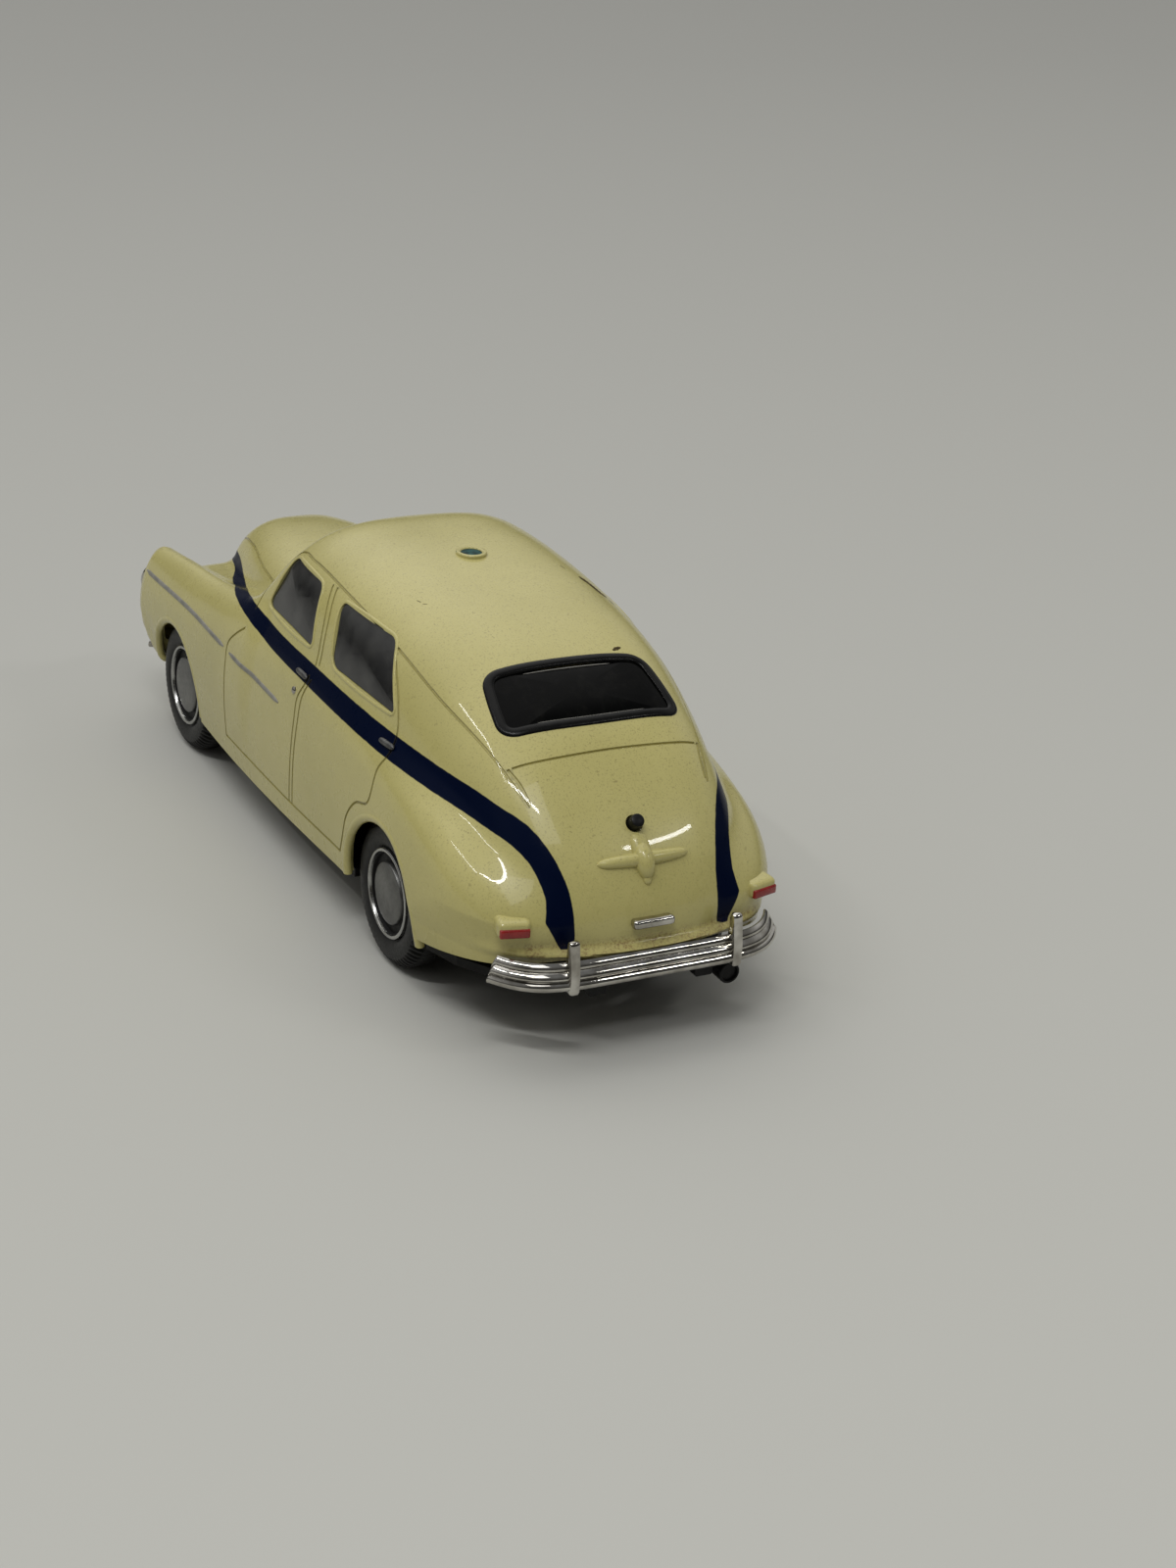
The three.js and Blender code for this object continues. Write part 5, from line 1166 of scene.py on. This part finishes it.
window_frames()
arch_lips()
side_trims()
door_handles()
roof_disc()
scratches()
boot_handle()
boot_peg()
tail_lamps()
plate_lamp()
headlamps()
grille()
bumpers()
tail_pipe()


# Glazing

PANE_SHARES = (0.985, 0.8, 0.55, 0.3, 0.02)


def raised_pane(outline, carry):
    """Pane that stands up into a window's opening from the moulding behind it."""
    edge = grown(outline, -PANE_GAP)
    middle = edge.mean(0)
    rings = [carry(edge, GLASS_DEPTH + GLASS_WALL / 2), carry(edge, PANE_DEPTH + 0.1)]
    rings += [carry(middle + (edge - middle) * share, PANE_DEPTH) for share in PANE_SHARES]
    return skin(rings)


def plane_pane(outline, corner, basis, origin):
    """Pane in an opening that was cut square to a plane."""
    def on_plane(flat, depth):
        return hit(placed(flat, PANE_START, basis, origin), basis[2], depth)

    return raised_pane(rounded(outline, corner), on_plane)


def panes():
    made = []
    for outline in (FRONT_WINDOW, REAR_WINDOW):
        made.append(both(raised_pane(rounded(outline, WINDOW_CORNER), side_points)))
    for hand in SIDES.values():
        made.append(plane_pane(SCREEN_OUTLINE, WINDOW_CORNER, *screen_frame(hand)))
    return made


def glazing():
    """Thin dome under the roof that fills every window."""
    outer = body_half(GLASS_DEPTH, None, *GLASS_GRID)[:, GLASS_FIRST_ROW:]
    inner = body_half(GLASS_DEPTH + GLASS_WALL, None, *GLASS_GRID)[:, GLASS_FIRST_ROW:]
    around = np.concatenate([outer, inner[:, ::-1]], 1)
    columns, rows, _ = around.shape
    points, faces = both((around.reshape(-1, 3), grid_faces(columns, rows)))
    half = columns * rows
    for low in range(0, half - rows, rows):
        rim = (low, low + rows, low + 2 * rows - 1, low + rows - 1)
        faces.append(rim)
        faces.append(tuple(half + k for k in rim[::-1]))
    moulding = gathered((points, faces), *panes())
    piece("glazing", moulding, GLASS, "smoked_glazing", replaced=["window_insert"])
    back = plane_pane(BACKLIGHT_OUTLINE, BACKLIGHT_CORNER, *backlight_frame())
    piece("backlight_pane", back, DARK_GLASS, "smoked_glazing")


def framed(outline, corner, basis, origin, by, section):
    """Section carried round a window on the body's surface."""
    flat = resampled(grown(rounded(outline, corner), by), 0.3, closed=True)
    path = hit(placed(flat, PANE_START, basis, origin), basis[2])
    return swept(path, outward(path), section, closed=True)


def window_seals():
    basis, middle = backlight_frame()
    seal = framed(BACKLIGHT_OUTLINE, BACKLIGHT_CORNER, basis, middle, 0.1, oval(0.6, 0.27, 14, 0.06))
    piece("backlight_seal", seal, SEAL, "black_plastic")
    line = framed(BACKLIGHT_OUTLINE, BACKLIGHT_CORNER, basis, middle, -0.66, oval(0.08, 0.08, 8, 0.32))
    piece("backlight_line", line, STRIP, "satin_metal")
    beads = []
    for hand in SIDES.values():
        basis, origin = screen_frame(hand)
        beads.append(framed(SCREEN_OUTLINE, WINDOW_CORNER, basis, origin, 0.1, oval(0.4, 0.3, 12, 0.05)))
    piece("screen_seals", gathered(*beads), SEAL, "black_plastic")


glazing()
window_seals()


# Wheels

NOTCHES = 66
NOTCH_STEPS = 4
NOTCH_DEPTH = 0.34


def tyre(x, hand):
    """Round-shouldered tyre whose tread edges are notched."""
    outer = WHEEL_FACE_Y - TYRE_INSET
    inner = outer - TYRE_WIDTH
    half = [(0.02, 0.5), (0.4, 0.2), (0.9, 0.03), (1.6, 0.0), (2.2, 0.1), (2.5, 0.25), (2.7, 0.42),
            (3.0, 0.8), (3.18, 1.2), (TYRE_RADIUS - RIM_RADIUS, 1.6)]
    notched = [0, 0, 0, 0, 0.1, 0.6, 1, 1, 0.7, 0.25]
    profile = [(RIM_RADIUS + r, inner + w, n) for (r, w), n in zip(half, notched)]
    profile += [(RIM_RADIUS + r, outer - w, n) for (r, w), n in zip(half[::-1], notched[::-1])]
    sides = NOTCHES * NOTCH_STEPS
    angles = np.linspace(0, 2 * math.pi, sides, endpoint=False)
    cut = (np.arange(sides) % NOTCH_STEPS >= NOTCH_STEPS // 2) * NOTCH_DEPTH
    middle = (inner + outer) / 2
    rings = []
    for radius, y, share in profile:
        r = radius - cut * share
        level = y + np.sign(middle - y) * cut * share * 0.6
        rings.append(np.stack([x + r * np.cos(angles), hand * level, AXLE_Z + r * np.sin(angles)], 1))
    return hoop(rings)


def rim_ring(x, hand):
    """Plated ring and drum of a wheel."""
    face = WHEEL_FACE_Y
    lip = RIM_RADIUS - RIM_LIP
    floor_y = face - RIM_RECESS - 0.2
    profile = [(1.0, face - RIM_WIDTH), (RIM_RADIUS - 0.1, face - RIM_WIDTH), (RIM_RADIUS, face - 0.5),
               (RIM_RADIUS - 0.03, face - 0.3), (RIM_RADIUS - 0.12, face - 0.22), (lip + 0.2, face - 0.2),
               (lip + 0.06, face - 0.26), (lip, face - 0.4), (lip - 0.1, floor_y), (1.0, floor_y)]
    return turned(profile, (x, 0, AXLE_Z), (0, hand, 0), WHEEL_FACETS, closed=True)


def rim_shade_disc(x, hand):
    """Black disc laid in the plated recess between the ring and the hub cap: painted shade of the recess."""
    face = WHEEL_FACE_Y - RIM_RECESS
    lip = RIM_RADIUS - RIM_LIP - 0.12
    profile = [(1.5, face - 0.25), (lip, face - 0.25), (lip + 0.08, face + 0.35), (lip, face + 0.3),
               (lip - 0.1, face), (1.5, face)]
    return turned(profile, (x, 0, AXLE_Z), (0, hand, 0), WHEEL_FACETS, closed=True)


def hub_cap(x, hand):
    face = WHEEL_FACE_Y - HUB_CAP_SINK
    edge = HUB_CAP_RADIUS
    profile = [(0.01, face), (1.2, face), (edge - 0.9, face - 0.02), (edge - 0.35, face - 0.07),
               (edge - 0.12, face - 0.16), (edge - 0.02, face - 0.32), (edge, face - RIM_RECESS),
               (0.01, face - RIM_RECESS)]
    return turned(profile, (x, 0, AXLE_Z), (0, hand, 0), WHEEL_FACETS)


def wheels():
    for end, x in (("front", AXLE_FRONT_X), ("rear", AXLE_REAR_X)):
        body = f"{end}_wheelset"
        for side, hand in SIDES.items():
            name = f"{end}_{side}"
            tread = tyre(x, hand)
            piece(f"tread_{name}", tread, RUBBER, "tyre_rubber", body=body, replaced=[f"tyre_{name}"])
            ring = rim_ring(x, hand)
            piece(f"wheel_{name}", ring, RING, "plating", body=body, replaced=[f"rim_{name}"])
            # Black disc in each wheel's recess: painted shade
            piece(f"wheel_shade_disc_{name}", rim_shade_disc(x, hand), BLACK, "black_plastic", body=body)
            piece(f"hub_cap_{name}", hub_cap(x, hand), HUB, "satin_metal", body=body)


wheels()


# CAD pieces that stay as they are

KEPT = {"chassis_base": BLACK, "interior_tub": TRIM, "dashboard": TRIM, "steering_wheel": PLASTIC,
        "chassis_screw_front": STEEL, "chassis_screw_rear": STEEL, "front_axle": STEEL, "rear_axle": STEEL}
for name, look in KEPT.items():
    data = frame["nodes"][name].data
    data.materials.clear()
    data.materials.append(look)


# Stage, light and camera

# Floor tones near and far: painted falloff of the lamps' light
FLOOR_NEAR_LIT = (0.5, 0.498, 0.462)
FLOOR_FAR_SHADED = (0.44, 0.438, 0.412)
FLOOR_NEAR_X = -0.12
FLOOR_FAR_X = 0.5
FLOOR_HALF = 6.0


def stood(name, data, side, up, back, place):
    """New object with its own axes at a place."""
    obj = bpy.data.objects.new(name, data)
    rows = [(side[i], up[i], back[i], place[i]) for i in range(3)]
    obj.matrix_world = Matrix(rows + [(0, 0, 0, 1)])
    bpy.context.scene.collection.objects.link(obj)
    return obj


def floor():
    """Grey table with painted light falloff: its colour gets darker away from the camera."""
    made, tree, shader = material("floor_paper")
    place = node(tree, "TexCoord").outputs["Object"]
    # Painted light falloff: lighter near the camera, darker farther off
    away = spread(tree, node(tree, "SeparateXYZ", {0: place}).outputs["X"], FLOOR_NEAR_X, FLOOR_FAR_X)
    tone = mixed(tree, away, FLOOR_NEAR_LIT, FLOOR_FAR_SHADED)
    mottle = spread(tree, noise(tree, 30), 0.3, 0.7, 0, 0.05)
    tree.links.new(mixed(tree, mottle, tone, FLOOR_FAR_SHADED), shader.inputs["Base Color"])
    shader.inputs["Roughness"].default_value = 0.9
    shader.inputs["Specular IOR Level"].default_value = 0.1
    data = bpy.data.meshes.new("floor")
    corners = [(x * FLOOR_HALF, y * FLOOR_HALF, 0) for x, y in ((-1, -1), (1, -1), (1, 1), (-1, 1))]
    data.from_pydata(corners, [], [(0, 1, 2, 3)])
    data.materials.append(made)
    obj = bpy.data.objects.new("floor", data)
    bpy.context.scene.collection.objects.link(obj)


def lamp(name, place, along, size, energy):
    """Lamp that faces the car, its longer side lying along a direction."""
    data = bpy.data.lights.new(name, "AREA")
    data.shape = "RECTANGLE"
    data.size, data.size_y = size
    data.energy = energy
    back = Vector(place).normalized()
    side = (Vector(along) - back * back.dot(Vector(along))).normalized()
    stood(name, data, side, back.cross(side), back, place)


WORLD_LOW = (0.03, 0.029, 0.027)
WORLD_BACK = (0.09, 0.088, 0.084)
WORLD_WALL = (0.5, 0.498, 0.49)
WORLD_TOP = (0.2, 0.204, 0.208)
WORLD_GLOW = (1.42, 1.41, 1.38)
GLOW_WAY = (0.5, 0.0, 0.866)
GLOW_EDGE = 0.7

# Where the room's tones turn into one another, as shares of a direction
WALL_START = (-0.7, 0.1)
TABLE_EDGE = (0.08, 0.4)
WALL_TOP = (0.5, 0.85)


def world():
    """Room that is dark round the table and behind the camera, with paler walls and a soft glow overhead."""
    made = bpy.data.worlds.new("studio")
    made.use_nodes = True
    tree = made.node_tree
    facing = node(tree, "TexCoord").outputs["Generated"]
    way = node(tree, "SeparateXYZ", {0: facing}).outputs
    height = way["Z"]
    round_about = mixed(tree, spread(tree, way["X"], *WALL_START), WORLD_BACK, WORLD_WALL)
    walls = mixed(tree, spread(tree, height, *TABLE_EDGE), WORLD_LOW, round_about)
    sky = mixed(tree, spread(tree, height, *WALL_TOP), walls, WORLD_TOP)
    toward = node(tree, "VectorMath", {0: facing, 1: GLOW_WAY}, operation="DOT_PRODUCT").outputs["Value"]
    sky = mixed(tree, eased(tree, toward, GLOW_EDGE, 1), sky, WORLD_GLOW)
    tree.links.new(sky, tree.nodes["Background"].inputs["Color"])
    tree.nodes["Background"].inputs["Strength"].default_value = 1.0
    bpy.context.scene.world = made


CAMERA_EYE = Vector((-271.613, 130.055, 139.531)) * MM
CAMERA_YAW, CAMERA_PITCH, CAMERA_ROLL = (math.radians(a) for a in (-28.974, -23.502, 4.133))
CAMERA_FOCUS = 2854.2
PHOTO_HEIGHT = 1600


def camera():
    level = math.cos(CAMERA_PITCH)
    ahead = Vector((math.cos(CAMERA_YAW) * level, math.sin(CAMERA_YAW) * level, math.sin(CAMERA_PITCH)))
    right = ahead.cross(Vector((0, 0, 1))).normalized()
    up = right.cross(ahead)
    cosine, sine = math.cos(CAMERA_ROLL), math.sin(CAMERA_ROLL)
    right, up = cosine * right + sine * up, cosine * up - sine * right
    data = bpy.data.cameras.new("camera")
    data.sensor_fit = "VERTICAL"
    data.sensor_height = 36
    data.lens = CAMERA_FOCUS / PHOTO_HEIGHT * data.sensor_height
    data.clip_start = 0.01
    data.clip_end = 50
    bpy.context.scene.camera = stood("camera", data, right, up, -ahead, CAMERA_EYE)


floor()
world()
lamp("near_tube", (-0.32, 0.42, 0.98), (-0.66, -0.75, 0), (0.62, 0.04), 3.0)
lamp("far_tube", (0.16, 0.77, 1.0), (1, 0, 0), (0.5, 0.03), 1.0)
lamp("side_tube", (-0.66, -0.64, 0.8), (0.3, -0.9, 0), (0.35, 0.03), 0.9)
lamp("window", (-0.55, 0.25, 1.0), (0, 1, 0), (0.5, 0.5), 1.6)
camera()
bpy.context.scene.view_settings.view_transform = "Standard"
